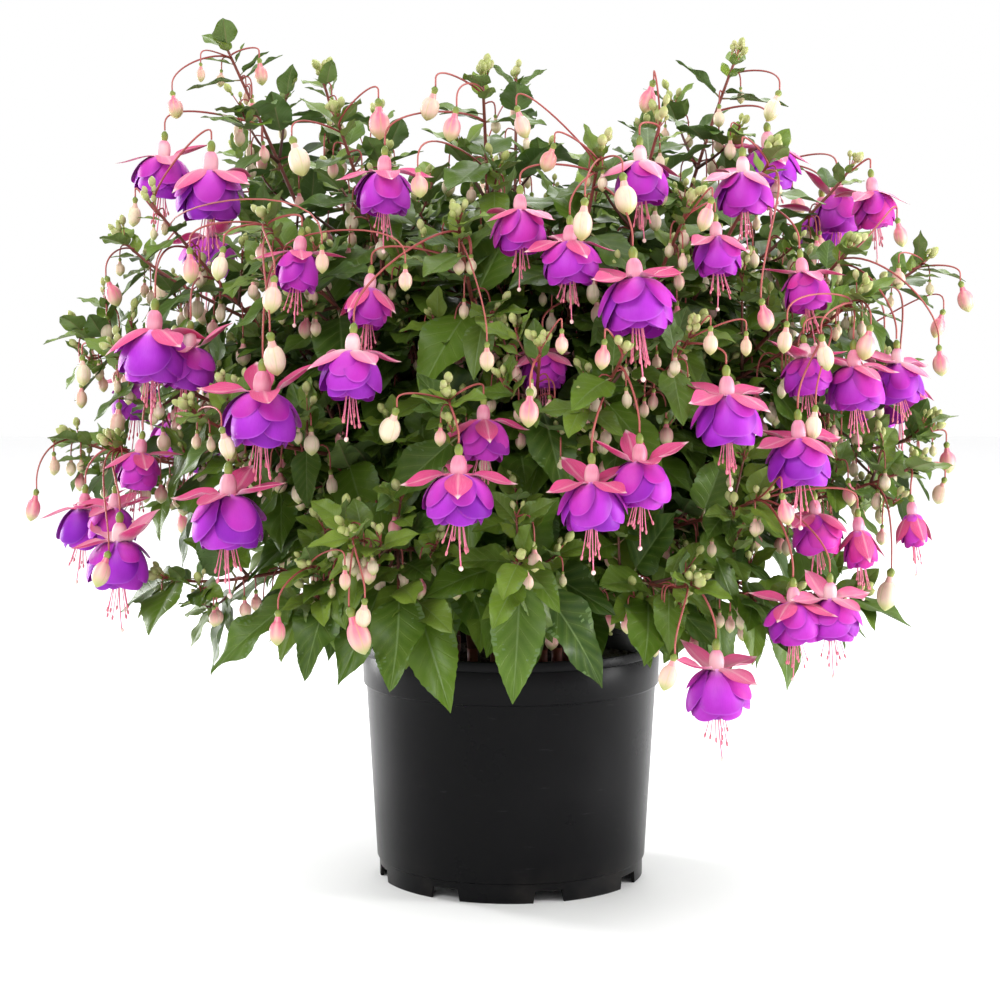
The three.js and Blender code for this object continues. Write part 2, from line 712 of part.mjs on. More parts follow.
// The seats of the leaves: opposite pairs halfway between the bends of a shoot, each pair square
// to the last one.
function leafSeats(shoot, draw) {
  const seats = [];
  const start = draw() * Math.PI;
  const whole = shoot.curve.getLength();
  for (let k = shoot.steps - 1; k >= 1; k -= 1) {
    const share = (k + 0.5) / shoot.steps;
    const [before, after] = [k, k + 1].map((i) => shoot.curve.getPoint(i / shoot.steps));
    const from = before.clone().lerp(after, 0.5);
    const axis = after.sub(before).normalize();
    const toTip = whole * (1 - share);
    const size = mix(leaf.young, leaf.grown, Math.min(1, toTip / leaf.reachOfYoung));
    const side = vector(0.2, 0.1, 1).cross(axis).normalize();
    for (let pair = 0; pair < 2; pair += 1) {
      const angle = start + (k % 2) * Math.PI * 0.5 + pair * Math.PI;
      const sideways = side.clone().applyAxisAngle(axis, angle);
      const spread = degrees(leaf.spread);
      const direction = axis.clone().multiplyScalar(Math.cos(spread))
        .addScaledVector(sideways, Math.sin(spread))
        .addScaledVector(up, -leaf.sag).normalize();
      const length = size * mix(...leaf.lengthSpread, draw());
      const outline = length < leaf.youngBelow ? leaf.youngOutline : leaf.outline;
      seats.push({ from, axis, direction, length, width: length * leaf.widthShare, outline });
    }
  }
  return seats;
}

// Leaves that stand out of the core in rows, the low ones hanging, the high ones rising.
function coreSeats(limb, draw) {
  const { from, to } = slice(limb);
  return core.rows.map(([z, rise, side]) => {
    const angle = mix(from, to, 0.5 + side * mix(...core.sideShare, draw()));
    const outward = vector(Math.cos(angle), Math.sin(angle), 0);
    const radius = coreRadius(z, angle) * (1 - 2.5 * core.rough) - core.leafRoot;
    const pitch = degrees(rise + core.pitchSpread * (draw() - 0.5));
    const direction = outward.clone().multiplyScalar(Math.cos(pitch));
    direction.addScaledVector(up, Math.sin(pitch));
    const length = core.leafLength * mix(...leaf.lengthSpread, draw());
    const width = length * leaf.widthShare;
    const place = outward.clone().multiplyScalar(radius).setZ(z);
    return { from: place, axis: up, direction, length, width, outline: leaf.outline };
  });
}

// The large low leaves hang outward over the rim of the pot, each from its nearest stem, on a
// leaf stalk that is as long as it needs to be.
function largeSeat(shoots, tip) {
  const end = vector(...tip);
  const seat = perches(shoots, end, leaf.largeAbove)[0];
  const direction = end.clone().addScaledVector(up, 7).sub(seat.point);
  const length = direction.length();
  direction.normalize();
  const axis = direction.clone();
  const bladeShare = Math.min(1, leaf.largeLength / length);
  const outline = leaf.largeOutline.map(([share, wide]) => [1 - (1 - share) * bladeShare, wide]);
  return { from: seat.point, axis, direction, length, width: leaf.largeWidth, outline };
}

// ---------------------------------------------------------------- buds and flowers

// A hanging bud and its stalk in one: [x, y, z] is the middle of the bud.
function makeBud([x, y, z, length], shoots, grown) {
  const top = vector(x, y, z + length * 0.5);
  const rings = bud.swell.map(([share, wide]) => {
    const radius = length * bud.girth * wide;
    return circle(radius, -length * share, bud.sides).reverse().map((point) => point.add(top));
  });
  return stalk(shoots, top, bud.stalkRadius, grown, [...rings, [vector(x, y, z - length * 0.5)]]);
}

// Tube and sepals in one: the four sepals spring from the four sides of the tube's mouth.
function makeCalyx(open) {
  const sides = flower.tubeSides;
  const last = flower.tube.length - 1;
  const [mouthRadius, mouthZ] = flower.tube[last];
  const points = [vector(0, 0, 0)];
  const faces = [];
  [...flower.tube, [mouthRadius, mouthZ - flower.sepalThickness]]
    .forEach(([radius, z]) => points.push(...circle(radius, z, sides, Math.PI / 4)));
  const drop = mix(...flower.sepalDrop, open);
  const curl = mix(...flower.sepalCurl, open);
  const half = flower.sepalWidth / 2;
  const [mouth, rim] = [1 + last * sides, 1 + (last + 1) * sides];
  for (let k = 0; k < sides; k += 1) {
    const next = (k + 1) % sides;
    faces.push([0, 1 + k, 1 + next]);
    for (let row = 1; row < mouth; row += sides) {
      faces.push([row + k, row + sides + k, row + next]);
      faces.push([row + next, row + sides + k, row + sides + next]);
    }
    const angle = (k / sides + 1 / 4) * 2 * Math.PI;
    const outward = vector(Math.cos(angle), Math.sin(angle), 0);
    const side = vector(-Math.sin(angle), Math.cos(angle), 0);
    const reach = (from, length, fall) => along(from, outward, length * Math.cos(fall))
      .addScaledVector(up, -length * Math.sin(fall));
    const hinge = along(vector(0, 0, mouthZ), outward, flower.sepalRoot);
    const middle = reach(hinge, flower.sepalMiddle, drop);
    const tip = reach(middle, flower.sepalLength - flower.sepalMiddle, drop - curl);
    const first = points.length;
    points.push(
      along(middle, side, -half).addScaledVector(up, -flower.sepalFold),
      along(middle, side, half).addScaledVector(up, -flower.sepalFold),
      tip,
      along(middle, up, flower.sepalThickness / 2),
      along(middle, up, -flower.sepalThickness),
    );
    const [right, left, end, above, below] = [0, 1, 2, 3, 4].map((i) => first + i);
    const [a, b, lowA, lowB] = [mouth + k, mouth + next, rim + k, rim + next];
    faces.push([a, above, b], [a, right, above], [right, end, above]);
    faces.push([above, end, left], [above, left, b]);
    faces.push([lowA, lowB, below], [lowA, below, right], [right, below, end]);
    faces.push([below, left, end], [below, lowB, left]);
    faces.push([right, a, lowA], [b, left, lowB]);
  }
  faces.push([rim, rim + 2, rim + 1], [rim, rim + 3, rim + 2]);
  return solidOf(points, faces);
}

// The skirt: an outer layer of petals over an inner one that hangs lower, open underneath.
function makeSkirt(widen) {
  const columns = flower.columns;
  const layer = ([radius, z], dip, turn) => circle(radius * widen, z, columns, turn)
    .map((point, k) => point.setZ(point.z + (k % 2 === 0 ? -dip : dip)));
  return stack([
    [vector(0, 0, flower.hollow)],
    layer(flower.innerEdge, -flower.scallop, 2 * flower.skirtTwist),
    layer(flower.tuck, 0, flower.skirtTwist),
    layer(flower.outerEdge, flower.scallop, 0),
    layer(flower.shoulder, 0, 0),
    [vector(0, 0, flower.skirtTop)],
  ]);
}

// Stamens and the longer style: each leaves the hollow of the skirt and ends in a point.
function makeThread([rootReach, endReach, end, angle]) {
  const outward = vector(Math.cos(angle), Math.sin(angle), 0);
  const root = circle(flower.threadRadius, flower.hollow, 3).reverse()
    .map((point) => point.addScaledVector(outward, rootReach));
  return stack([root, [vector(0, 0, end).addScaledVector(outward, endReach)]]);
}

// A hanging flower with its ovary at the origin.
function makeFlower([x, y, z, turn, lean, size, open]) {
  const outward = Math.atan2(y, x);
  const hung = new THREE.Matrix4().compose(
    vector(x, y, z - flower.gap),
    new THREE.Quaternion()
      .setFromAxisAngle(vector(-Math.sin(outward), Math.cos(outward), 0), -degrees(lean))
      .multiply(new THREE.Quaternion().setFromAxisAngle(up, degrees(turn))),
    vector(size, size, size),
  );
  const skirt = makeSkirt(mix(flower.closedSkirt, 1, open));
  return joined([makeCalyx(open), skirt, ...flower.threads.map(makeThread)]).transform(hung.elements);
}

// ---------------------------------------------------------------- the whole plant

const named = (kind, number) => `${kind}_${String(number).padStart(2, '0')}`;

const flowers = limbs.flatMap((limb) => limb.flowers)
  .map((group) => joined(group.map((each) => makeFlower(each))));

const frameworks = limbs.map((limb, number) => {
  const draw = draws(100 + number);
  const main = makeMainShoot(limb);
  const shoots = [main, ...limb.shoots.slice(1).map((place) => makeSideShoot(place, main))];
  const solids = shoots.map((shoot, k) => shootRod(shoot, k === 0 ? stem.sides : stem.sideSides));
  limb.buds.forEach((each) => solids.push(makeBud(each, shoots, solids)));
  limb.flowers.flat().forEach(([x, y, z]) => {
    solids.push(stalk(shoots, vector(x, y, z), flower.stalkRadius, solids));
  });
  return { limb, draw, shoots, solid: joined([makeCore(limb, draw), ...solids]) };
});

const holes = frameworks.map(({ shoots }) => {
  const [foot, ground] = shoots[0].points;
  const radius = stem.baseRadius + soil.holeSpare;
  const deep = foot.clone().setZ(foot.z - soil.clearance);
  return rod([deep, ground], [radius, radius], stem.sides);
});

const body = { pot: makePot(), soil: makeSoil(holes) };

const leaves = frameworks.map(() => []);
frameworks.forEach(({ limb, draw, shoots, solid: own }, number) => {
  const others = frameworks.filter((_, k) => k !== number).map(({ solid }) => solid);
  const fixed = [...others, ...flowers, body.pot, body.soil];
  const isClear = (probe, outer) => !fixed.some((solid) => meets(probe, solid))
    && !leaves.flat().some((solid) => meets(probe, solid)) && !meets(outer, own);
  const seats = [...limb.leaves.map((tip) => largeSeat(shoots, tip)),
    ...coreSeats(limb, draw),
    ...shoots.flatMap((shoot) => leafSeats(shoot, draw).slice(0, leaf.perShoot))];
  for (const seat of seats) {
    const blade = makeLeaf(seat, isClear);
    if (blade) leaves[number].push(blade);
  }
});

function meshOf(name, solid, look) {
  const { vertProperties, triVerts } = solid.getMesh();
  const geometry = new THREE.BufferGeometry();
  geometry.setAttribute('position', new THREE.BufferAttribute(vertProperties, 3));
  geometry.setIndex(new THREE.BufferAttribute(triVerts, 1));
  geometry.computeVertexNormals();
  const mesh = new THREE.Mesh(geometry, new THREE.MeshStandardMaterial({ ...look, flatShading: true }));
  mesh.name = name;
  return mesh;
}

const plant = new THREE.Group();
plant.add(meshOf('pot', body.pot, finish.pot), meshOf('soil', body.soil, finish.soil));
frameworks.forEach(({ solid }, number) => {
  plant.add(meshOf(named('limb', number + 1), joined([solid, ...leaves[number]]), finish.limb));
});
flowers.forEach((solid, number) => {
  plant.add(meshOf(named('bloom', number + 1), solid, finish.flower));
});

export default plant;
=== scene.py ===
import math
from itertools import product
import bpy
import numpy as np
from mathutils import Matrix, Quaternion, Vector
from mathutils.kdtree import KDTree


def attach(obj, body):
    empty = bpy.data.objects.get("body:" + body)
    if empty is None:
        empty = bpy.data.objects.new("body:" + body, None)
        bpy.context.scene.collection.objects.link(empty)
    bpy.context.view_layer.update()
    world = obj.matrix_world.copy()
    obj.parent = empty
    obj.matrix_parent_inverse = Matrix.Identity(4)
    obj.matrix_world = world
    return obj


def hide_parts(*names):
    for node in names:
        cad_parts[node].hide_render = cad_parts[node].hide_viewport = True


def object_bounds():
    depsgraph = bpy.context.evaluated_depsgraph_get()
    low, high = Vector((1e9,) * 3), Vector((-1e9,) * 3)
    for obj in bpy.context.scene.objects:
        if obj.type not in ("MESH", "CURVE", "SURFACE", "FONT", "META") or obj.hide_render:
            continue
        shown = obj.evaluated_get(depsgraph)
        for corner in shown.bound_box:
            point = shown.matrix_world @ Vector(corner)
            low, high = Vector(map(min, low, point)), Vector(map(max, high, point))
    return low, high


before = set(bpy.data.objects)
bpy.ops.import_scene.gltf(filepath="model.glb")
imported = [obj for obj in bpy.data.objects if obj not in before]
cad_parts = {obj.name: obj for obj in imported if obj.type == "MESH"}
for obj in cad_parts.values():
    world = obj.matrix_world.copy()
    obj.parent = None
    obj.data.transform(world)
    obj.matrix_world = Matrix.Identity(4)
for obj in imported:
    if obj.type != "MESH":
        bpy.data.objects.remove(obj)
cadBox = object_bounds()
mm = 0.001
up = Vector((0, 0, 1))
print("frame loaded:", len(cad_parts), "nodes")

# camera: in front of the pot, a little above the middle of the bush, looking slightly down
viewer = {"place": (-0.007, -1.537, 0.388), "tilt": 84.5, "lens": 87.4}
camera = bpy.data.objects.new("viewer", bpy.data.cameras.new("viewer"))
bpy.context.collection.objects.link(camera)
camera.location = viewer["place"]
camera.rotation_euler = (math.radians(viewer["tilt"]), 0, 0)
camera.data.lens = viewer["lens"]
bpy.context.scene.camera = camera
bpy.context.scene.view_settings.view_transform = "Standard"

# soft studio light: a white room, a big key from the upper left, strips that line the pot's sides
studio = {
    "room": 1.0,
    "floorSize": 8,
    "floorColor": (0.93, 0.93, 0.935),
    # name: place, aim, width, height, watts
    "lamps": {
        "keyLamp": ((-1.1, -1.7, 2.1), (0, 0, 0.3), 1.1, 1.1, 34),
        "topLamp": ((0.5, 0.5, 2.4), (0, 0, 0.3), 1.4, 1.4, 26),
        "leftStrip": ((-1.2, 0.75, 0.35), (0, 0, 0.12), 0.3, 1.0, 22),
        "rightStrip": ((1.35, -0.3, 0.3), (0, 0, 0.1), 0.4, 0.9, 22),
        "backLamp": ((0.4, 1.9, 1.5), (0, 0, 0.3), 1.2, 1.0, 16),
    },
}


def lightStudio():
    world = bpy.data.worlds.new("whiteRoom")
    world.use_nodes = True
    world.node_tree.nodes["Background"].inputs["Color"].default_value = (1, 1, 1, 1)
    world.node_tree.nodes["Background"].inputs["Strength"].default_value = studio["room"]
    bpy.context.scene.world = world
    for name, (place, aim, width, height, watts) in studio["lamps"].items():
        lamp = bpy.data.lights.new(name, "AREA")
        lamp.shape = "RECTANGLE"
        lamp.size, lamp.size_y, lamp.energy = width, height, watts
        holder = bpy.data.objects.new(name, lamp)
        holder.location = place
        holder.rotation_euler = (Vector(aim) - Vector(place)).to_track_quat("-Z", "Y").to_euler()
        holder.visible_camera = False
        bpy.context.collection.objects.link(holder)


# small tools for numbers

def mix(a, b, share):
    return a + (b - a) * share


def clamp(value, low=0.0, high=1.0):
    return max(low, min(high, value))


def draws(seed):    # the same seeded draw as in the solids
    state = [seed]

    def draw():
        state[0] = (state[0] + 0x6d2b79f5) & 0xffffffff
        bits = ((state[0] ^ (state[0] >> 15)) * (state[0] | 1)) & 0xffffffff
        bits ^= (bits + (((bits ^ (bits >> 7)) * (bits | 61)) & 0xffffffff)) & 0xffffffff
        return (bits ^ (bits >> 14)) / 4294967296
    return draw


def through(keys, at):    # a smooth curve through (position, value) keys
    x, y = np.array(keys, float).T
    slope = np.gradient(y, x)
    at = np.asarray(at, float)
    i = np.clip(np.searchsorted(x, at) - 1, 0, len(x) - 2)
    wide = x[i + 1] - x[i]
    u = (at - x[i]) / wide
    rise = u * (1 - u) ** 2 * slope[i] + u * u * (u - 1) * slope[i + 1]
    return (1 + 2 * u) * (1 - u) ** 2 * y[i] + u * u * (3 - 2 * u) * y[i + 1] + wide * rise


def around(angle, radius=1.0, z=0.0):
    return Vector((radius * math.cos(angle), radius * math.sin(angle), z))


def turned(vector, axis, angle):
    vector = vector.copy()
    vector.rotate(Quaternion(axis, angle))
    return vector


def opened(axis, sideways, angle):    # away from the axis by an angle
    return axis * math.cos(angle) + sideways * math.sin(angle)


def bezier(a, b, c, d):
    return lambda t: a * (1 - t) ** 3 + b * 3 * t * (1 - t) ** 2 + c * 3 * t * t * (1 - t) + d * t ** 3


def curveLength(at, steps=200):
    points = [at(k / steps) for k in range(steps + 1)]
    return sum((q - p).length for p, q in zip(points, points[1:]))


# mesh building, all in millimetres until a pile becomes a piece

gridCache = {}


def gridFaces(rows, columns, wrap):
    if (rows, columns, wrap) not in gridCache:
        i, j = np.meshgrid(np.arange(rows - 1), np.arange(columns if wrap else columns - 1), indexing="ij")
        k = (j + 1) % columns
        i, below = i * columns, (i + 1) * columns
        gridCache[rows, columns, wrap] = np.stack([i + j, below + j, below + k, i + k], -1).reshape(-1, 4)
    return gridCache[rows, columns, wrap]


class Pile:    # faces of one piece, gathered before they become a mesh
    def __init__(self):
        self.points, self.loops, self.sizes, self.slots, self.places, self.tones = [], [], [], [], [], []
        self.count = 0

    def add(self, points, faces, place, tone, slot):
        points = points.reshape(-1, 3)
        self.points.append(points)
        self.places.append(np.asarray(place, float).reshape(-1, 2))
        self.tones.append(np.broadcast_to(tone, (len(points), 2)))
        for some in faces:
            self.loops.append((some + self.count).ravel())
            self.sizes.append(np.full(len(some), some.shape[1]))
            self.slots.append(np.full(len(some), slot))
        self.count += len(points)

    def grid(self, points, place, tone, slot, wrap=False, flip=False):
        faces = gridFaces(points.shape[0], points.shape[1], wrap)
        self.add(points, [faces[:, ::-1] if flip else faces], place, tone, slot)

    def piece(self, name, materials, nodes, slot):
        mesh = bpy.data.meshes.new(name)
        points = np.concatenate(self.points) * mm
        loops, sizes, slots = [np.concatenate(some).astype(np.int32)
                               for some in (self.loops, self.sizes, self.slots)]
        mesh.vertices.add(len(points))
        mesh.vertices.foreach_set("co", points.ravel())
        mesh.loops.add(len(loops))
        mesh.loops.foreach_set("vertex_index", loops)
        mesh.polygons.add(len(sizes))
        mesh.polygons.foreach_set("loop_start", (np.cumsum(sizes) - sizes).astype(np.int32))
        mesh.polygons.foreach_set("material_index", slots)
        mesh.polygons.foreach_set("use_smooth", np.ones(len(sizes), bool))
        for layer, values in (("place", self.places), ("tone", self.tones)):
            mesh.uv_layers.new(name=layer).data.foreach_set("uv", np.concatenate(values)[loops].ravel())
        mesh.update(calc_edges=True)
        for material in materials:
            mesh.materials.append(material)
        thing = bpy.data.objects.new(name, mesh)
        bpy.context.collection.objects.link(thing)
        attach(thing, "root")
        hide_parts(*nodes)
        return thing


def unit(rows):
    return rows / np.maximum(np.linalg.norm(rows, axis=-1, keepdims=True), 1e-9)


def spread(rows, columns):    # place values of a grid: how far along, how far across
    i, j = np.meshgrid(np.linspace(0, 1, rows), np.linspace(0, 1, columns), indexing="ij")
    return np.stack([i, j], -1)


def sheetPlaces(s, t):    # the same for a sheet that runs along s from 0 to 1 and across t from -1 to 1
    return np.stack(np.broadcast_arrays(s, t * 0.5 + 0.5), -1)


def addTube(pile, points, radii, sides, slot):
    points = np.array([tuple(point) for point in points])
    radii = np.asarray(radii, float)
    ahead = unit(np.gradient(points, axis=0))
    side = np.cross(ahead[0], (0.13, 0.31, 0.94) if abs(ahead[0][2]) < 0.9 else (1, 0.1, 0))
    first = []
    for direction in ahead:    # carried along the tube without a twist
        side = side - direction * side.dot(direction)
        side = side / np.linalg.norm(side)
        first.append([side])
    first, second = np.array(first), np.cross(ahead[:, None], np.array(first))
    angle = -2 * np.pi * np.arange(sides)[None, :, None] / sides
    rings = points[:, None] + radii[:, None, None] * (first * np.cos(angle) + second * np.sin(angle))
    rows = len(points)
    caps = np.array([np.arange(sides), (rows - 1) * sides + np.arange(sides)[::-1]])
    pile.add(rings, [gridFaces(rows, sides, True), caps], spread(rows, sides), (0.5, 0.5), slot)


# materials

class Skin:    # a material that gets its base colour in layers
    def __init__(self, name):
        self.material = bpy.data.materials.new(name)
        self.material.use_nodes = True
        self.tree = self.material.node_tree
        self.surface = self.tree.nodes["Principled BSDF"]
        self.color = None

    def feed(self, value, socket):
        if isinstance(value, bpy.types.NodeSocket):
            self.tree.links.new(value, socket)
        else:
            socket.default_value = value

    def node(self, kind, inputs=(), output=0, **settings):
        node = self.tree.nodes.new("ShaderNode" + kind)
        for key, value in settings.items():
            setattr(node, key, value)
        for key, value in dict(inputs).items():
            self.feed(value, node.inputs[key])
        return node.outputs[output]

    def maths(self, operation, a, b=0.0, c=0.0, clampIt=False):
        return self.node("Math", {0: a, 1: b, 2: c}, operation=operation, use_clamp=clampIt)

    def times(self, a, b):
        return self.maths("MULTIPLY", a, b)

    def line(self, value, slope, base, clampIt=False):    # base + slope * value
        return self.maths("MULTIPLY_ADD", value, slope, base, clampIt)

    def smooth(self, value, low, high):    # 0 below low, 1 above high, also the other way round
        return self.node("MapRange", {"Value": value, "From Min": low, "From Max": high},
                         interpolation_type="SMOOTHSTEP")

    def fromMiddle(self, across):    # 0 on the middle line, 1 at both edges
        return self.maths("ABSOLUTE", self.line(across, 2.0, -1.0))

    def blend(self, share, a, b, how="MIX"):
        def rgba(value):
            return value if isinstance(value, bpy.types.NodeSocket) else (*value, 1)
        return self.node("Mix", {0: share, 6: rgba(a), 7: rgba(b)}, output=2, data_type="RGBA",
                         blend_type=how)

    def tint(self, share, color, amount=1.0, how="MIX"):    # lay a colour over the ones before
        share = share if amount == 1.0 else self.times(share, amount)
        self.color = self.blend(share, self.color, color, how)

    def wash(self, value, low, high, color, amount=1.0):
        self.tint(self.smooth(value, low, high), color, amount)

    def ramp(self, value, stops):
        color = self.node("ValToRGB", {0: value})
        colors = color.node.color_ramp
        colors.interpolation = "EASE"
        while len(colors.elements) < len(stops):
            colors.elements.new(1)
        for element, (position, rgb) in zip(colors.elements, stops):
            element.position = position
            element.color = (*rgb, 1)
        return color

    def layer(self, name):    # the two numbers of a uv layer
        uv = self.node("UVMap", uv_map=name)
        x = self.node("SeparateXYZ", {0: uv})
        return x, x.node.outputs[1], uv

    def noise(self, scale, detail=3.0, vector=None, roughness=0.55):
        if vector is None:
            vector = self.node("TexCoord", output=3)
        return self.node("TexNoise", {"Vector": vector, "Scale": scale, "Detail": detail,
                                      "Roughness": roughness})

    def streaks(self, place, along, across):    # noise drawn out along a petal
        return self.noise(3.0, 3.0, self.node("Mapping", {"Vector": place, "Scale": (along, across, 1.0)}))

    # relief: height, strength, distance. glow: colour and share of the light that shines through
    def finish(self, roughness, relief=None, glow=None, specular=0.5):
        self.feed(self.color, self.surface.inputs["Base Color"])
        self.feed(roughness, self.surface.inputs["Roughness"])
        self.surface.inputs["Specular IOR Level"].default_value = specular
        if relief:
            normal = self.node("Bump", dict(zip(("Height", "Strength", "Distance"), relief)))
            self.feed(normal, self.surface.inputs["Normal"])
        if glow:
            shining = self.node("BsdfTranslucent", {"Color": (*glow[0], 1), "Normal": normal})
            both = self.node("MixShader", {0: glow[1], 1: self.surface.outputs[0], 2: shining})
            self.feed(both, self.tree.nodes["Material Output"].inputs["Surface"])
        return self.material


leafLook = {
    "deep": (0.025, 0.064, 0.007),
    "fresh": (0.110, 0.200, 0.013),
    "young": (0.30, 0.41, 0.055),
    "vein": (0.20, 0.29, 0.055),
    "rib": (0.24, 0.34, 0.12),
    "under": (0.135, 0.215, 0.070),
    "underYoung": (0.27, 0.36, 0.10),
    "underVein": (0.24, 0.33, 0.16),
    "underRib": (0.36, 0.33, 0.17),
    "shade": (0.03, 0.06, 0.02),
    "glow": ((0.17, 0.34, 0.02), 0.2),
    "veins": 7.0,
    "slant": 0.34,
}


def veinMask(skin, along, across):
    fromRib = skin.fromMiddle(across)
    back = skin.times(fromRib, skin.line(fromRib, -0.3, 1.0))
    phase = skin.times(skin.line(back, -leafLook["slant"], along), leafLook["veins"])
    away = skin.maths("ABSOLUTE", skin.maths("SUBTRACT", skin.maths("FRACT", phase), 0.5))
    side = skin.times(skin.smooth(away, 0.075, 0.01), skin.smooth(fromRib, 1.0, 0.55))
    return skin.smooth(fromRib, 0.06, 0.012), side, away


def makeLeafSkin(name, underside):
    skin = Skin(name)
    along, across, _ = skin.layer("place")
    chance, youth, _ = skin.layer("tone")
    rib, side, away = veinMask(skin, along, across)
    patch = skin.noise(60.0, 4.0)
    fine = skin.noise(900.0, 2.0)
    if underside:
        skin.color = skin.blend(youth, leafLook["under"], leafLook["underYoung"])
        skin.tint(rib, leafLook["underRib"], 0.7)
        skin.tint(side, leafLook["underVein"], 0.35)
    else:
        mood = skin.line(patch, 0.5, skin.line(chance, 0.9, -0.2), clampIt=True)
        skin.color = skin.blend(mood, leafLook["deep"], leafLook["fresh"])
        skin.tint(youth, leafLook["young"])
        skin.wash(away, 0.5, 0.12, leafLook["vein"], 0.16)
        skin.tint(side, leafLook["vein"], 0.26)
        skin.tint(rib, leafLook["rib"], 0.5)
    skin.tint(fine, leafLook["shade"], 0.25, "SOFT_LIGHT")
    height = skin.maths("ADD", skin.times(side, 0.6 if underside else -0.6), skin.times(fine, 0.35))
    return skin.finish(skin.line(patch, 0.22, 0.52 if underside else 0.3), (height, 0.5, 0.0004),
                       leafLook["glow"], 0.28 if underside else 0.34)


def makeStemSkin(name, low, high, rough):
    skin = Skin(name)
    skin.color = skin.blend(skin.smooth(skin.layer("place")[0], 0.2, 1.0), low, high)
    skin.tint(skin.noise(140.0, 4.0), tuple(c * 0.45 for c in low), 0.6)
    return skin.finish(rough, (skin.noise(700.0, 3.0), 0.4, 0.0004), specular=0.35)


petalLook = {
    "flush": (0.94, 0.55, 0.82),
    "upper": (0.56, 0.085, 0.76),
    "middle": (0.38, 0.030, 0.66),
    "edge": (0.27, 0.015, 0.50),
    # deep: a darker tone of some petals, and also the painted shade towards each petal's sides
    "deep": (0.15, 0.004, 0.30),
    "rose": (0.50, 0.035, 0.52),
    # rim: the colour of the painted highlight along a petal's lip and sides
    "rim": (0.56, 0.15, 0.78),
    "magentaUpper": (0.80, 0.10, 0.38),
    "magentaMiddle": (0.64, 0.020, 0.24),
    "inside": (0.40, 0.008, 0.30),
    "glow": ((0.62, 0.04, 0.70), 0.14),
    "sheen": (0.95, 0.45, 1.0, 1),
}


def makePetalSkin(name, inner):
    skin = Skin(name)
    look = petalLook
    along, across, place = skin.layer("place")
    chance, magenta, _ = skin.layer("tone")
    streak = skin.streaks(place, 2.2, 26.0)
    patch = skin.noise(70.0, 3.0)
    reach = skin.line(streak, 0.22, skin.maths("SUBTRACT", along, 0.11))
    violet = skin.ramp(reach, [(0.07, look["flush"]), (0.31, look["upper"]), (0.62, look["middle"]),
                               (0.95, look["edge"])])
    pink = skin.ramp(reach, [(0.0, look["flush"]), (0.2, look["magentaUpper"]),
                             (1.0, look["magentaMiddle"])])
    fromRib = skin.fromMiddle(across)
    # painted highlight: mask of the lip and side edges of each petal, which are drawn lighter
    rimHighlightMask = skin.maths("MAXIMUM", skin.smooth(along, 0.955, 0.995), skin.smooth(fromRib, 0.95, 1.0))
    skin.color = skin.blend(magenta, violet, pink)
    skin.wash(patch, 0.42, 0.72, look["upper"], 0.28)
    skin.wash(chance, 0.3, 0.9, look["rose"], 0.55)
    skin.wash(chance, 0.3, 0.0, look["deep"], 0.55)
    # painted shade: each petal darkens towards its sides, where the petals overlap
    skin.wash(fromRib, 0.4, 0.92, look["deep"], 0.5)
    skin.wash(streak, 0.5, 0.8, look["edge"], 0.3)
    # lay the painted highlight on the rim
    skin.tint(rimHighlightMask, look["rim"], 0.3)
    if inner:
        skin.tint(0.35, look["inside"])
    skin.surface.inputs["Sheen Weight"].default_value = 0.1
    skin.surface.inputs["Sheen Roughness"].default_value = 0.35
    skin.surface.inputs["Sheen Tint"].default_value = look["sheen"]
    return skin.finish(0.46, (streak, 0.2, 0.0005), look["glow"], 0.22)


sepalLook = {
    "cream": (0.93, 0.66, 0.67),
    "pale": (0.85, 0.27, 0.43),
    "pink": (0.69, 0.050, 0.22),
    "tip": (0.66, 0.66, 0.34),
    "inside": (0.58, 0.020, 0.155),
    "insideTip": (0.85, 0.5, 0.4),
    "glow": ((0.70, 0.045, 0.22), 0.14),
    # along: under 0.3 is the tube, from the ovary to its mouth, above that the sepal out to its tip
    "rosy": [(0.0, "pale"), (0.10, "pink"), (0.22, "pale"), (0.36, "pink"), (0.88, "pink"),
             (0.965, "cream"), (1.0, "tip")],
    "faint": [(0.0, "pale"), (0.12, "cream"), (0.36, "cream"), (0.6, "pale"), (0.88, "pale"),
              (0.965, "cream"), (1.0, "tip")],
}


def makeSepalSkin(name, inside):
    skin = Skin(name)
    look = sepalLook
    along, across, place = skin.layer("place")
    streak = skin.streaks(place, 2.0, 18.0)
    fromRib = skin.fromMiddle(across)
    if inside:
        skin.color = skin.blend(skin.smooth(streak, 0.35, 0.75), look["inside"], look["pink"])
        skin.tint(skin.smooth(skin.line(streak, 0.25, along), 0.78, 0.4), look["cream"])
        skin.wash(fromRib, 0.86, 1.0, look["cream"], 0.55)
        skin.wash(along, 0.93, 1.0, look["insideTip"])
    else:
        rosy, faint = [skin.ramp(along, [(stop, look[color]) for stop, color in look[kind]])
                       for kind in ("rosy", "faint")]
        skin.color = skin.blend(skin.layer("tone")[1], rosy, faint)
        skin.wash(streak, 0.45, 0.8, look["cream"], 0.3)
        skin.wash(fromRib, 0.45, 0.95, look["pink"], 0.55)
        skin.wash(fromRib, 0.2, 0.0, look["cream"], 0.3)
    skin.surface.inputs["Sheen Weight"].default_value = 0.15
    return skin.finish(0.42, (streak, 0.3, 0.0005), look["glow"], 0.4)


def makeThreadSkin(name, low, high):
    skin = Skin(name)
    patch = skin.noise(400.0, 2.0)
    skin.color = skin.blend(skin.layer("place")[0], low, high)
    skin.tint(patch, (1.0, 0.75, 0.78), 0.3)
    return skin.finish(0.45, (patch, 0.3, 0.0003))


budLook = {
    "green": (0.24, 0.30, 0.060),
    "paleGreen": (0.48, 0.52, 0.18),
    "cream": (0.84, 0.72, 0.53),
    "pink": (0.80, 0.13, 0.26),
    "glow": ((0.8, 0.6, 0.4), 0.12),
}


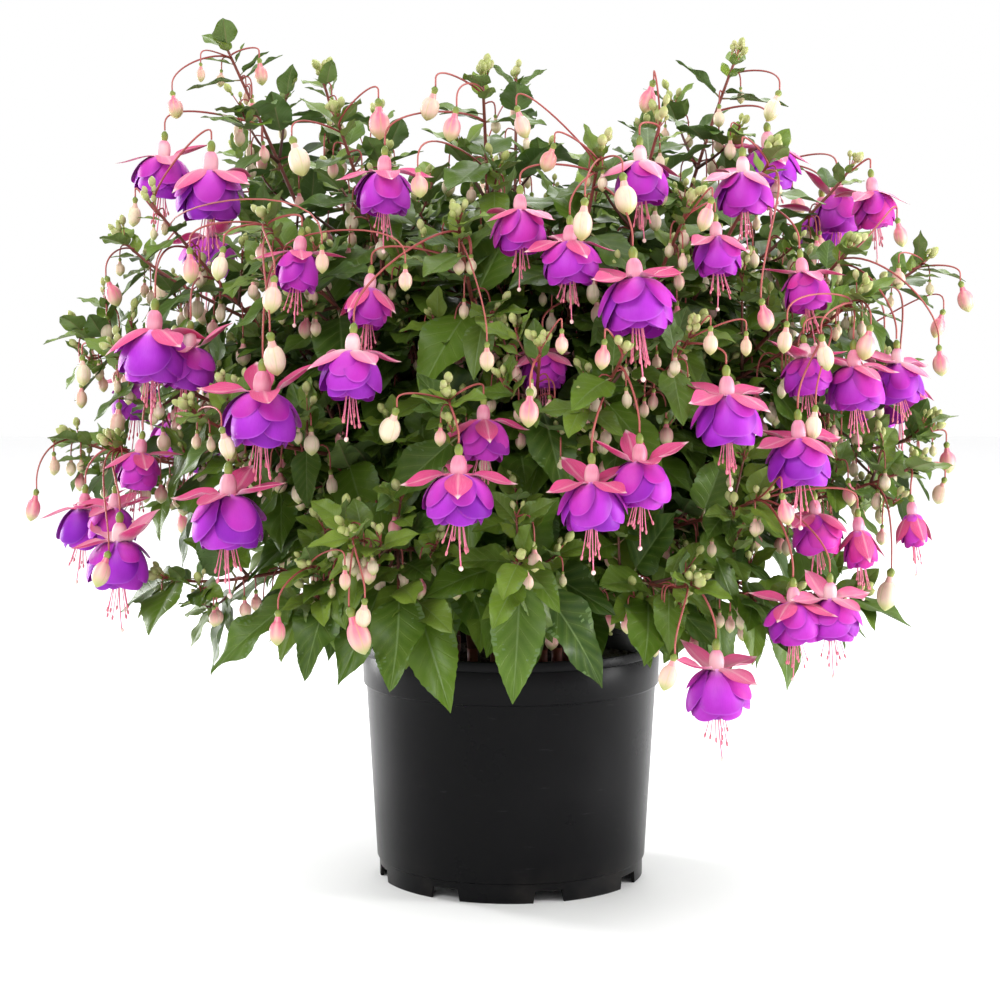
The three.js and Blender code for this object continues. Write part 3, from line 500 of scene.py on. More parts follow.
def makeBudSkin():
    # tone: how pink, how green it still is; along runs from the neck to the pointed tip
    skin = Skin("budSkin")
    along, across, place = skin.layer("place")
    pinkness, greenness, _ = skin.layer("tone")
    streak = skin.streaks(place, 1.4, 16.0)
    near = skin.smooth(skin.line(streak, 0.4, along), 1.1, 0.15)
    blush = skin.maths("MULTIPLY", pinkness, skin.line(near, 0.55, 0.45), clampIt=True)
    seam = skin.maths("FRACT", skin.times(across, 4.0))
    seam = skin.maths("ABSOLUTE", skin.maths("SUBTRACT", seam, 0.5))
    skin.color = skin.blend(blush, budLook["cream"], budLook["pink"])
    skin.wash(seam, 0.2, 0.5, budLook["cream"], 0.4)
    skin.wash(streak, 0.5, 0.72, sepalLook["pale"], 0.35)
    skin.wash(along, 0.5, 0.98, budLook["paleGreen"])
    skin.tint(greenness, skin.blend(streak, budLook["green"], budLook["paleGreen"]))
    skin.wash(seam, 0.07, 0.0, budLook["paleGreen"], 0.5)
    return skin.finish(0.36, (streak, 0.12, 0.0003), budLook["glow"], 0.42)


potLook = {
    "black": (0.0020, 0.0020, 0.0024),
    "worn": (0.0048, 0.0048, 0.0054),
    "dust": (0.10, 0.085, 0.07),
    "scratch": (0.05, 0.05, 0.052),
    "dustHeight": 0.028,
    "scuffs": (60.0, 60.0, 420.0),
}


def makePotPlastic():
    skin = Skin("potPlastic")
    place = skin.node("TexCoord", output=3)
    height = skin.node("SeparateXYZ", {0: place}, output=2)
    patch = skin.noise(26.0, 5.0)
    scuffs = skin.noise(1.0, 6.0, skin.node("Mapping", {"Vector": place, "Scale": potLook["scuffs"]}))
    dusty = skin.times(skin.smooth(height, potLook["dustHeight"], 0.0), skin.smooth(patch, 0.45, 0.8))
    scratch = skin.times(skin.smooth(scuffs, 0.66, 0.74), 0.18)
    skin.color = skin.blend(patch, potLook["black"], potLook["worn"])
    skin.tint(dusty, potLook["dust"], 0.25)
    skin.tint(scratch, potLook["scratch"])
    shine = skin.maths("ADD", skin.line(patch, 0.14, 0.22), skin.times(scratch, 0.9))
    return skin.finish(shine, (skin.line(skin.noise(2600.0, 2.0), 0.5, patch), 0.22, 0.0005), specular=0.09)


def makeSoilSkin():
    skin = Skin("pottingSoil")
    clods = skin.noise(210.0, 6.0, roughness=0.7)
    fibres = skin.noise(900.0, 4.0, roughness=0.7)
    skin.color = skin.blend(clods, (0.010, 0.006, 0.004), (0.055, 0.033, 0.020))
    skin.wash(fibres, 0.6, 0.8, (0.15, 0.09, 0.05), 0.5)
    return skin.finish(0.95, (skin.maths("ADD", clods, skin.times(fibres, 0.4)), 0.9, 0.0015))


def makeFloorPaint():
    skin = Skin("floorPaint")
    tint = tuple(c * 0.985 for c in studio["floorColor"])
    skin.color = skin.blend(skin.noise(3.0, 3.0), studio["floorColor"], tint)
    return skin.finish(0.6, specular=0.25)


lightStudio()
leafTop = makeLeafSkin("leafTop", False)
leafUnder = makeLeafSkin("leafUnder", True)
stemSkin = makeStemSkin("stemSkin", (0.105, 0.038, 0.026), (0.24, 0.055, 0.040), 0.5)
stalkSkin = makeStemSkin("stalkSkin", (0.34, 0.065, 0.060), (0.50, 0.13, 0.11), 0.42)
leafStalkSkin = makeStemSkin("leafStalkSkin", (0.26, 0.13, 0.07), (0.20, 0.27, 0.09), 0.5)
budSkin = makeBudSkin()
ovarySkin = makeStemSkin("ovarySkin", (0.17, 0.23, 0.035), (0.36, 0.40, 0.085), 0.35)
petalOutside = makePetalSkin("petalOutside", False)
petalInside = makePetalSkin("petalInside", True)
sepalOutside = makeSepalSkin("sepalOutside", False)
sepalInside = makeSepalSkin("sepalInside", True)
threadSkin = makeThreadSkin("threadSkin", (0.86, 0.20, 0.36), (0.74, 0.06, 0.20))
antherSkin = makeThreadSkin("antherSkin", (0.50, 0.03, 0.10), (0.66, 0.10, 0.16))
stigmaSkin = makeThreadSkin("stigmaSkin", (0.88, 0.48, 0.46), (0.93, 0.72, 0.62))
print("materials and light made")

# floor
floorMesh = bpy.data.meshes.new("floor")
half = studio["floorSize"] / 2
floorMesh.from_pydata([(-half, -half, 0), (half, -half, 0), (half, half, 0), (-half, half, 0)], [],
                      [(0, 1, 2, 3)])
floorMesh.materials.append(makeFloorPaint())
floor = bpy.data.objects.new("floor", floorMesh)
bpy.context.collection.objects.link(floor)

# pot

potShape = {
    "height": 151, "rim": 95.4, "lip": 6, "lipStep": 0.6, "bandBottom": 124.7, "bandRadius": 94.3,
    "bandStep": 1.9, "stepHeight": 12.3, "stepRadius": 85.9, "stepWidth": 1.3, "foot": 84.4,
    "footWidth": 2.2, "wall": 1.6, "underside": 7.6, "floorThickness": 2,
    "notches": 8, "notchAngle": -74, "notchWidth": 20, "notchHeight": 7.4, "notchTaper": 0.85,
    "columns": 240, "crispFrom": 38,
}
notchStep = 360 / potShape["notches"]
notchHalf = math.degrees(potShape["notchWidth"] / 2 / potShape["foot"])


def potInside(z):
    bodyTop = potShape["bandRadius"] - potShape["bandStep"]
    share = (z - potShape["stepHeight"]) / (potShape["bandBottom"] - potShape["stepHeight"])
    return mix(potShape["stepRadius"], bodyTop, share) - potShape["wall"]


def footHeight(angle):    # how high the foot's lower edge stands at an angle, in degrees
    away = abs((angle - potShape["notchAngle"] + notchStep / 2) % notchStep - notchStep / 2)
    return potShape["notchHeight"] * clamp((notchHalf - away) / (notchHalf * (1 - potShape["notchTaper"])))


def potAngles():    # even ones, and the edges of the notches
    angles = set(np.linspace(-180, 180, potShape["columns"], endpoint=False).round(3))
    for k in range(potShape["notches"]):
        for edge in (notchHalf, notchHalf * potShape["notchTaper"]):
            for away in (-edge, edge):
                angles.add(round((potShape["notchAngle"] + notchStep * k + away + 180) % 360 - 180, 3))
    return sorted(angles)


def makePot():
    p = potShape
    rim, top, foot, step, stepTop = p["rim"], p["height"], p["foot"], p["stepRadius"], p["stepHeight"]
    band, bandBottom, bandTop = p["bandRadius"], p["bandBottom"], p["rim"] - p["lipStep"]
    body, lipFoot, inner = band - p["bandStep"], top - p["lip"], rim - p["wall"]
    under, floorTop, footInside = p["underside"], p["underside"] + p["floorThickness"], foot - p["footWidth"]
    # radius, height, and how much of the notch's height the ring follows
    profile = [
        (footInside + 0.1, 0, 1), (footInside + 0.5, 0, 1), (foot - 0.5, 0, 1), (foot, 0.5, 1),
        (foot + 0.05, 8.2, 0), (step - p["stepWidth"], stepTop - 0.3, 0), (step - 0.9, stepTop, 0),
        (step - 0.25, stepTop + 0.35, 0), (step, stepTop + 1.0, 0), (mix(step, body, 0.5), 68, 0),
        (body - 0.1, bandBottom - 1.9, 0), (body + 0.35, bandBottom - 1.0, 0),
        (body + 1.3, bandBottom - 0.55, 0), (band - 0.25, bandBottom - 0.2, 0), (band, bandBottom + 0.5, 0),
        (mix(band, bandTop, 0.5), 135, 0), (bandTop - 0.05, lipFoot - 0.9, 0),
        (bandTop - 0.25, lipFoot - 0.4, 0), (bandTop + 0.1, lipFoot, 0), (rim - 0.1, lipFoot + 0.4, 0),
        (rim, lipFoot + 1.1, 0), (rim, top - 0.9, 0), (rim - 0.25, top - 0.25, 0), (rim - 0.8, top, 0),
        (inner + 0.3, top, 0), (inner, top - 0.5, 0), (potInside(bandBottom) + 0.7, bandBottom + 3, 0),
        (potInside(100), 100, 0), (potInside(stepTop + 4), stepTop + 4, 0),
        (potInside(floorTop) - 1.2, floorTop, 0), (40, floorTop, 0), (1, floorTop, 0), (1, under, 0),
        (40, under, 0), (footInside, under, 0), (footInside + 0.1, 0, 1),
    ]
    angles = potAngles()
    points = np.array([[(radius * math.cos(math.radians(a)), radius * math.sin(math.radians(a)),
                         height + follows * footHeight(a)) for a in angles]
                       for radius, height, follows in profile])
    pile = Pile()
    pile.grid(points, spread(*points.shape[:2]), (0.5, 0.5), 0, wrap=True, flip=True)
    sharpen(pile.piece("potShell", [makePotPlastic()], ["pot"], "pot_plastic"), p["crispFrom"])


def sharpen(thing, angle):    # edges steeper than the angle stay crisp
    with bpy.context.temp_override(object=thing, active_object=thing, selected_objects=[thing],
                                   selected_editable_objects=[thing]):
        bpy.ops.object.shade_smooth_by_angle(angle=math.radians(angle))


# soil

soilShape = {
    "top": 138, "bumps": 3, "bumpRadius": 54, "edge": 34, "clearance": 0.35, "grain": 0.28, "bottom": 11.0,
    "bottomRing": 16.3, "rings": 30, "columns": 96, "crumbs": 900, "crumbSize": (0.8, 2.6), "seed": 5,
}


def soilHeight(x, y):
    radius, angle = np.hypot(x, y), np.arctan2(y, x)
    inner = soilShape["bumpRadius"]
    wave = soilShape["bumps"] * 0.5 * np.sin(3 * angle) * np.clip(radius / inner, 0, 1)
    edge = np.clip((radius - inner) / soilShape["edge"], 0, 1)
    rough = 0.5 * np.sin(x * 0.31 + 1.3) * np.sin(y * 0.27) + 0.35 * np.sin(x * 0.9) * np.sin(y * 0.83 + 2)
    return soilShape["top"] + wave * (1 - edge) - soilShape["bumps"] * edge + rough * (1 - edge * 0.5)


def makeSoil():
    draw = np.random.default_rng(soilShape["seed"])
    edge = potInside(soilShape["top"]) - soilShape["clearance"]
    inside = potInside(soilShape["bottomRing"]) - 1.0
    radii = np.concatenate([[0.01], np.linspace(3, edge - 0.8, soilShape["rings"]), [edge]])
    angle = 2 * np.pi * np.arange(soilShape["columns"]) / soilShape["columns"]

    def ring(radius, z):
        return np.stack([radius * np.cos(angle), radius * np.sin(angle), z], -1)
    x, y = radii[:, None] * np.cos(angle), radii[:, None] * np.sin(angle)
    z = soilHeight(x, y) + draw.normal(0, soilShape["grain"], x.shape)
    low = np.full(len(angle), soilShape["bottom"])
    rings = np.concatenate([np.stack([x, y, z], -1), [ring(edge, z[-1] - 3), ring(inside, low + 6),
                                                      ring(inside - 4, low), ring(0.01, low)]])
    pile = Pile()
    pile.grid(rings, spread(*rings.shape[:2]), (0.5, 0.5), 0, wrap=True)
    for _ in range(soilShape["crumbs"]):
        radius, turn = edge * 0.97 * math.sqrt(draw.random()), draw.random() * 2 * math.pi
        x, y = radius * math.cos(turn), radius * math.sin(turn)
        size = mix(*soilShape["crumbSize"], draw.random() ** 2.5)
        addCrumb(pile, (x, y, float(soilHeight(x, y)) + size * 0.25), size, draw)
    pile.piece("soilBed", [makeSoilSkin()], ["soil"], "potting_soil")


def addCrumb(pile, place, size, draw):    # a knobbly crumb, longer than wide
    rows, columns = 5, 6
    tilt = np.linspace(0.05, np.pi - 0.05, rows)[:, None]
    turn = -2 * np.pi * np.arange(columns) / columns
    knobs = 1 + draw.normal(0, 0.17, (rows, columns))
    ball = np.stack([np.sin(tilt) * np.cos(turn), np.sin(tilt) * np.sin(turn), -np.cos(tilt) + 0 * turn], -1)
    ball *= knobs[..., None] * size * np.array([1, draw.uniform(0.5, 0.9), draw.uniform(0.4, 0.8)])
    spin = draw.random() * np.pi
    rotated = ball.copy()
    rotated[..., 0] = ball[..., 0] * math.cos(spin) - ball[..., 1] * math.sin(spin)
    rotated[..., 1] = ball[..., 0] * math.sin(spin) + ball[..., 1] * math.cos(spin)
    pile.grid(rotated + np.array(place), spread(rows, columns), (draw.random(), 0.5), 0, wrap=True)


makePot()
makeSoil()
print("pot and soil made")

# the plant, limb by limb, in millimetres

# shoots: tips, the main one first. flowers: groups that touch, each flower as x, y, z, turn, lean, size,
# openness, magenta share. buds: x, y, z, length. leaves: tips of the large low ones.
limbs = [
    {"way": 182,
     "shoots": [(-178, -12, 526), (-243, -16, 405), (-274, -8, 350), (-276, -20, 282), (-120, 18, 508)],
     "flowers": [[(-213, -30, 471, 20, 4, 0.92, 1, 0.15)], [(-238, 22, 330, 70, 5, 0.9, 1, 0.2)]],
     "buds": [(-155, -26, 507, 17), (-209, -24, 486, 19), (-287, -76, 244, 20), (-249, -40, 372, 20),
          (-246, -14, 292, 22)],
     "leaves": [(-262, 20, 232)]},
    {"way": 207,
     "shoots": [(-214, -92, 426), (-234, -112, 338), (-238, -96, 282), (-206, -122, 206)],
     "flowers": [[(-179, -76, 463, 50, 3, 1.06, 1, 0.1)],
          [(-205, -138, 370, 35, 4, 1.08, 1, 0.12), (-186, -128, 357, 5, 6, 0.9, 1, 0.3)],
          [(-256, -84, 258, 10, 5, 0.86, 0.9, 0.0)],
          [(-227, -139, 247, 40, 2, 1.0, 0.95, 0.12), (-234, -110, 260, 65, 4, 0.8, 1, 0.3),
           (-217, -112, 292, 20, 8, 0.78, 0.8, 0.6)]],
     "buds": [(-256, -89, 326, 19), (-229, -168, 216, 22), (-224, -82, 420, 18)],
     "leaves": [(-208, -156, 178), (-236, -88, 184)]},
    {"way": 233,
     "shoots": [(-101, -133, 474), (-139, -165, 414), (-180, -182, 308), (-114, -194, 222)],
     "flowers": [[(-137, -205, 338, 12, 3, 1.08, 1, 0.12)], [(-157, -200, 281, 70, 2, 1.08, 1, 0.12)],
          [(-117, -180, 410, 10, 10, 0.8, 0.75, 0.45)]],
     "buds": [(-124, -160, 448, 25), (-132, -216, 340, 25), (-158, -223, 292, 19),
          (-182, -160, 388, 21), (-161, -176, 389, 20), (-130, -206, 372, 22), (-75, -164, 470, 23),
          (-129, -214, 190, 20)],
     "leaves": [(-170, -190, 168), (-118, -214, 164)]},
    {"way": 256,
     "shoots": [(-17, -136, 496), (-30, -202, 414), (-35, -234, 318), (-88, -226, 243)],
     "flowers": [[(-86, -221, 358, 30, 8, 0.92, 1, 0.12)], [(-78, -188, 389, 55, 12, 0.78, 0.7, 0.7)],
          [(-71, -174, 455, 12, 4, 0.85, 1, 0.3)], [(-29, -243, 294, 0, 3, 0.97, 1, 0.12)],
          [(-16, -210, 318, 10, 4, 0.8, 0.9, 0.55)]],
     "buds": [(-89, -231, 190, 28), (-80, -236, 200, 19), (-62, -242, 302, 22), (-43, -164, 478, 20),
          (-31, -178, 466, 20), (-52, -198, 433, 18)],
     "leaves": [(-61, -238, 164), (-35, -226, 152), (-94, -206, 160)]},
    {"way": 279,
     "shoots": [(49, -174, 453), (15, -230, 346), (60, -226, 342), (4, -238, 232)],
     "flowers": [[(4, -190, 433, 44, 8, 0.84, 0.9, 0.6)], [(17, -158, 352, 48, 5, 0.74, 0.9, 0.5)],
          [(31, -206, 416, 20, 4, 0.84, 1, 0.3)], [(65, -212, 399, 45, 12, 1.06, 1, 0.12)],
          [(42, -243, 289, 35, 3, 0.93, 1, 0.12), (68, -234, 299, 15, 3, 0.9, 1, 0.3)]],
     "buds": [(2, -178, 467, 19), (23, -190, 447, 17), (39, -214, 413, 24), (9, -247, 313, 21),
          (49, -238, 341, 17), (60, -199, 427, 24)],
     "leaves": [(2, -238, 155), (52, -228, 166)]},
    {"way": 299,
     "shoots": [(98, -180, 422), (98, -213, 352), (100, -212, 214), (84, -150, 470)],
     "flowers": [[(71, -166, 461, 25, 5, 0.85, 1, 0.35)], [(113, -172, 418, 50, 6, 0.78, 0.9, 0.3)],
          [(116, -215, 335, 45, 4, 0.98, 1, 0.12)], [(112, -213, 184, 40, 3, 0.97, 1, 0.25)]],
     "buds": [(80, -147, 483, 20), (110, -190, 416, 20), (88, -233, 168, 21)],
     "leaves": [(76, -226, 174), (114, -196, 176)]},
    {"way": 316,
     "shoots": [(150, -128, 452), (139, -176, 258), (160, -152, 200), (198, -146, 372)],
     "flowers": [[(131, -140, 456, 30, 4, 0.86, 1, 0.4)], [(163, -150, 398, 15, 12, 0.8, 0.8, 0.75)],
          [(164, -166, 350, 60, 6, 0.78, 0.9, 0.35), (193, -161, 347, 22, 3, 0.9, 1, 0.3)],
          [(157, -201, 310, 35, 4, 0.95, 1, 0.12)],
          [(170, -174, 262, 50, 5, 0.78, 1, 0.9), (195, -172, 252, 12, 5, 0.74, 0.5, 0.9)],
          [(155, -205, 217, 62, 3, 0.82, 1, 0.45), (176, -200, 219, 30, 3, 0.84, 1, 0.3)]],
     "buds": [(136, -202, 361, 19), (151, -198, 349, 18), (167, -200, 302, 20), (146, -224, 256, 19),
          (171, -188, 340, 21), (203, -159, 344, 22)],
     "leaves": [(152, -200, 180), (190, -176, 196)]},
    {"way": 334,
     "shoots": [(200, -102, 400), (236, -124, 272), (230, -110, 324), (205, -116, 196)],
     "flowers": [[(223, -126, 346, 40, 4, 0.82, 1, 0.15)], [(232, -130, 256, 20, 6, 0.68, 0.42, 0.9)]],
     "buds": [(254, -90, 332, 19), (258, -97, 254, 18), (219, -146, 202, 25), (231, -72, 408, 18)],
     "leaves": [(232, -132, 176)]},
    {"way": 356,
     "shoots": [(139, -20, 517), (211, -24, 450), (257, -28, 392), (266, -14, 286)],
     "flowers": [[(156, -38, 476, 15, 4, 0.92, 1, 0.12)], [(221, -30, 448, 55, 6, 0.82, 0.8, 1.0)],
          [(248, 12, 330, 28, 3, 0.93, 1, 0.3), (242, 39, 340, 8, 3, 0.9, 1, 0.12)]],
     "buds": [(163, -44, 484, 21), (276, -38, 369, 20), (274, -12, 268, 20)],
     "leaves": [(254, 10, 222)]},
    {"way": 27,
     "shoots": [(176, 96, 462), (232, 116, 344), (214, 128, 238)],
     "flowers": [[(206, 84, 440, 87, 3, 0.93, 1, 0.12), (212, 57, 450, 16, 3, 0.9, 1, 0.4)],
          [(240, 106, 312, 49, 3, 0.93, 1, 0.12), (225, 129, 322, 29, 3, 0.9, 1, 0.3)]],
     "buds": [(250, 84, 256, 22), (190, 112, 430, 19), (284, 60, 350, 20)],
     "leaves": [(226, 118, 178)]},
    {"way": 58,
     "shoots": [(96, 148, 482), (140, 196, 378), (116, 206, 258)],
     "flowers": [[(118, 180, 430, 15, 6, 0.95, 1, 0.3)],
          [(148, 198, 300, 78, 3, 0.93, 1, 0.12), (124, 211, 310, 59, 3, 0.9, 1, 0.12)]],
     "buds": [(176, 176, 330, 21), (82, 176, 446, 20), (96, 226, 236, 20)],
     "leaves": [(138, 200, 170)]},
    {"way": 90,
     "shoots": [(4, 120, 514), (54, 214, 384), (-12, 236, 262)],
     "flowers": [[(30, 206, 420, 40, 5, 1.0, 1, 0.12)],
          [(6, 240, 318, 24, 3, 0.93, 1, 0.45), (-21, 236, 328, 4, 3, 0.9, 1, 0.12)]],
     "buds": [(-20, 196, 440, 20), (40, 236, 286, 22), (-30, 240, 230, 20)],
     "leaves": [(14, 230, 166)]},
    {"way": 122,
     "shoots": [(-92, 146, 488), (-116, 208, 366), (-104, 214, 244)],
     "flowers": [[(-76, 188, 430, 47, 3, 0.93, 1, 0.3), (-99, 174, 440, 29, 3, 0.9, 1, 0.12)],
          [(-122, 214, 306, 55, 3, 0.93, 1, 0.12), (-143, 197, 316, 35, 3, 0.9, 1, 0.3)]],
     "buds": [(-136, 180, 400, 20), (-88, 236, 268, 21), (-128, 214, 226, 18)],
     "leaves": [(-112, 212, 156)]},
    {"way": 153,
     "shoots": [(-182, 92, 464), (-228, 122, 336), (-204, 122, 232)],
     "flowers": [[(-200, 100, 424, 35, 5, 0.95, 1, 0.12)],
          [(-214, 124, 290, 85, 3, 0.93, 1, 0.12), (-224, 98, 300, 65, 3, 0.9, 1, 0.45)]],
     "buds": [(-236, 84, 372, 21), (-170, 136, 402, 19), (-226, 118, 214, 20)],
     "leaves": [(-218, 124, 170)]},
]

# buds too small for the solids
smallBuds = {
    0: [(-190, -34, 506, 12), (-284, -34, 266, 15), (-267, -30, 308, 16)],
    1: [(-104, -207, 392, 16)],
    2: [(-91, -232, 220, 14), (-58, -223, 382, 15)],
    3: [(-14, -242, 340, 16)],
    4: [(26, -239, 348, 14)],
    5: [(107, -220, 348, 16), (127, -213, 346, 14)],
    8: [(236, -50, 382, 16)],
}

stemShape = {
    "rootRing": 40, "straight": 12, "base": 3.4, "fork": 2.1, "tip": 0.85, "segment": 46, "lean": 0.75,
    "leaving": 0.36, "arriving": 0.34, "mainRise": 0.8, "sideRise": (0.25, 0.75), "lowTip": 180,
    "tipSpan": 260, "forks": (0.1, 0.42), "holeDepth": 26, "bushHeight": 250,
}

# how buds and flowers hang: soft is bulge, lift and drop of the arch that is drawn
hanging = {
    "plumb": 4, "arch": 0.36, "lowestArch": 6, "lift": 0.2, "inside": 10, "long": 50, "choices": 16,
    "perches": (0.25, 0.75), "tries": [(26, 0.22), (42, 0.22), (10, 0.22), (20, 0.6)], "touch": 1.15,
    "dropShare": 0.12, "soft": (0.3, 0.1, 0.24), "lowCost": 1.6, "nearer": 0.85, "steps": 40, "lowest": 10,
}

coreShape = {
    "profile": [(166, 62), (198, 126), (258, 152), (330, 150), (392, 118), (432, 62)],
    "rough": 0.04, "wider": 0.12, "leafLength": 58, "leafRoot": 6, "sideShare": (0.3, 0.8),
    "pitchSpread": 16,
    # height, rise in degrees, side of the slice
    "rows": [(190, -28, -0.5), (238, -20, 0.5), (288, -10, -0.5), (338, 2, 0.4), (392, 20, -0.3)],
}

leafShape = {
    "spread": 58, "sag": 0.25, "facing": (0.55, 0.8), "young": 24, "grown": 50, "reachOfYoung": 150,
    "widthShare": 0.5, "droop": 0.3, "lengthSpread": (0.88, 1.14), "perShoot": 1,
    "turns": [0, 32, -32, 62, -62], "near": 0.3, "largeLength": 54, "largeWidth": 31, "largeAbove": 42,
    "largeRise": 7,
    "stalk": 0.13,        # share of the length that is leaf stalk
    "fold": 0.24, "wave": 0.045, "teeth": 0.05, "thickness": 0.28, "rib": 0.55, "quilt": 0.008,
    # rows along, places across
    "grids": {
        "fine": (25, (-1, -0.7, -0.36, -0.09, 0, 0.09, 0.36, 0.7, 1)),
        "plain": (13, (-1, -0.6, -0.1, 0, 0.1, 0.6, 1)),
        "small": (8, (-1, 0, 1)),
    },
}


def crosswise(axis):    # a direction across a stem, from which its leaves and twigs are turned
    return Vector((0.2, 0.1, 1)).cross(axis).normalized()


def shootCurve(start, tip, rise):
    reach = (tip - start).length
    out = tip - Vector((0, 0, stemShape["bushHeight"]))
    flat = math.hypot(out.x, out.y)
    slope = math.atan2(flat, out.z) * stemShape["lean"]
    heading = Vector((out.x / flat, out.y / flat, 0)) * math.sin(slope) + up * math.cos(slope)
    low = tip - start
    low.z = 0
    leaving = (up * rise + low.normalized() * (1 - rise)).normalized()
    return bezier(start, start + leaving * reach * stemShape["leaving"],
                  tip - heading * reach * stemShape["arriving"], tip)


def finishShoot(at, steps, points, tip, start):
    return {"at": at, "steps": steps, "points": points, "tip": tip, "from": start, "taken": set(),
            "length": curveLength(at), "heading": (at(1) - at(0.999)).normalized()}


def mainShoot(limb):
    root = around(math.radians(limb["way"]), stemShape["rootRing"])
    ground = root + up * (soilShape["top"] + stemShape["straight"])
    foot = root + up * (soilShape["top"] - stemShape["holeDepth"] + soilShape["clearance"])
    tip = Vector(limb["shoots"][0])
    at = shootCurve(ground, tip, stemShape["mainRise"])
    steps = int(curveLength(at) / stemShape["segment"] + 0.5)
    points = [foot] + [at(k / steps) for k in range(steps + 1)]
    return finishShoot(at, steps, points, tip, stemShape["base"])


def sideShoot(place, main):    # forks from the main shoot, low tips from lower down
    tip = Vector(place)
    high = clamp((tip.z - stemShape["lowTip"]) / stemShape["tipSpan"])
    step = max(1, int(mix(*stemShape["forks"], high) * main["steps"] + 0.5))
    at = shootCurve(main["at"](step / main["steps"]), tip, mix(*stemShape["sideRise"], high))
    steps = max(3, int(curveLength(at) / stemShape["segment"] + 0.5))
    return finishShoot(at, steps, [at(k / steps) for k in range(steps + 1)], tip, stemShape["fork"])


def perches(shoots, hung, above):    # free places from which something hangs well, best first
    inward = (Vector((0, 0, hung.z)) - hung).normalized()
    wanted = hung + inward * hanging["inside"] + up * above
    seats = []
    for shoot in shoots:
        points = shoot["points"]
        for k in range(1, len(points) - 1):
            for share in hanging["perches"]:
                point = points[k].lerp(points[k + 1], share)
                cost = (point - wanted).length + 0.5 * max(0, hung.z + hanging["plumb"] - point.z)
                if k + share not in shoot["taken"]:
                    seats.append((cost, point, -inward, shoot, k, share))
    return sorted(seats, key=lambda seat: seat[0])


def archOver(point, outward, end, bulge, lift, drop):
    reach = (point - end).length
    plumb = end + up * hanging["plumb"]
    return bezier(point, point + outward * reach * bulge + up * reach * lift,
                  plumb + up * max(hanging["lowestArch"], reach * drop), plumb)


def findStalk(shoots, end, solid):    # from the perch that the solid's stalk has, or else the best one
    best = None
    for above, bulge in hanging["tries"]:
        for _, point, outward, shoot, k, share in perches(shoots, end, above)[:hanging["choices"]]:
            arch = archOver(point, outward, end, bulge, hanging["lift"], hanging["arch"])
            steps = 3 if (point - end).length > hanging["long"] else 2
            best = best or (point, outward, shoot, k + share)
            if all(len(solid.find_range(arch(j / steps), hanging["touch"])) >= 2 for j in range(1, steps)):
                shoot["taken"].add(k + share)
                return softStalk(shoots, end, point, outward)
    best[2]["taken"].add(best[3])
    return softStalk(shoots, end, best[0], best[1])


def softStalk(shoots, end, point, outward):    # a gentle arch, from a nearer place where the shoots have one
    def cost(place):
        return (place - end).length + hanging["lowCost"] * max(0, end.z + hanging["plumb"] - place.z)
    shares = [k / hanging["steps"] for k in range(hanging["lowest"], hanging["steps"])]
    nearest = min((shoot["at"](share) for shoot in shoots for share in shares), key=cost)
    if cost(nearest) < hanging["nearer"] * cost(point):
        point = nearest
    arch = archOver(point, outward, end, *hanging["soft"])
    plumb, drop = end + up * hanging["plumb"], hanging["dropShare"]
    return lambda t: arch(t / (1 - drop)) if t < 1 - drop else plumb.lerp(end, (t - 1 + drop) / drop)


# leaf seats as in the solids: root, axis it turns about, direction, length, width
def leafSeats(shoot, draw):
    seats = []
    start = draw() * math.pi
    for k in range(shoot["steps"] - 1, 0, -1):
        before, after = shoot["at"](k / shoot["steps"]), shoot["at"]((k + 1) / shoot["steps"])
        axis = (after - before).normalized()
        toTip = shoot["length"] * (1 - (k + 0.5) / shoot["steps"])
        size = mix(leafShape["young"], leafShape["grown"], min(1, toTip / leafShape["reachOfYoung"]))
        side = crosswise(axis)
        for pair in range(2):
            sideways = turned(side, axis, start + (k % 2) * math.pi * 0.5 + pair * math.pi)
            direction = opened(axis, sideways, math.radians(leafShape["spread"])) - up * leafShape["sag"]
            length = size * mix(*leafShape["lengthSpread"], draw())
            seats.append((before.lerp(after, 0.5), axis, direction.normalized(), length,
                          length * leafShape["widthShare"]))
    return seats[:leafShape["perShoot"]]


def sliceOf(limb):    # its share of the circle
    ways = sorted(other["way"] for other in limbs)
    place = ways.index(limb["way"])
    before = ways[place - 1] - (360 if place == 0 else 0)
    after = ways[0] + 360 if place == len(ways) - 1 else ways[place + 1]
    return math.radians((before + limb["way"]) / 2), math.radians((limb["way"] + after) / 2)


def coreRadius(z, angle):    # how far the solids' core reaches
    profile = coreShape["profile"]
    row = next(k for k, (height, _) in enumerate(profile) if height > z)
    (lowZ, low), (highZ, high) = profile[row - 1], profile[row]
    return mix(low, high, (z - lowZ) / (highZ - lowZ)) * (1 + coreShape["wider"] * math.cos(angle) ** 2)


def coreSeats(limb, draw):
    start, end = sliceOf(limb)
    seats = []
    for z, rise, side in coreShape["rows"]:
        angle = mix(start, end, 0.5 + side * mix(*coreShape["sideShare"], draw()))
        outward = around(angle)
        radius = coreRadius(z, angle) * (1 - 2.5 * coreShape["rough"]) - coreShape["leafRoot"]
        direction = opened(outward, up, math.radians(rise + coreShape["pitchSpread"] * (draw() - 0.5)))
        length = coreShape["leafLength"] * mix(*leafShape["lengthSpread"], draw())
        seats.append((outward * radius + up * z, up, direction, length, length * leafShape["widthShare"]))
    return seats


def largeSeat(shoots, tip):    # the seat of a low leaf whose tip is known
    end = Vector(tip)
    point = perches(shoots, end, leafShape["largeAbove"])[0][1]
    direction = end + up * leafShape["largeRise"] - point
    return point, direction.normalized(), direction.normalized(), direction.length, leafShape["largeWidth"]


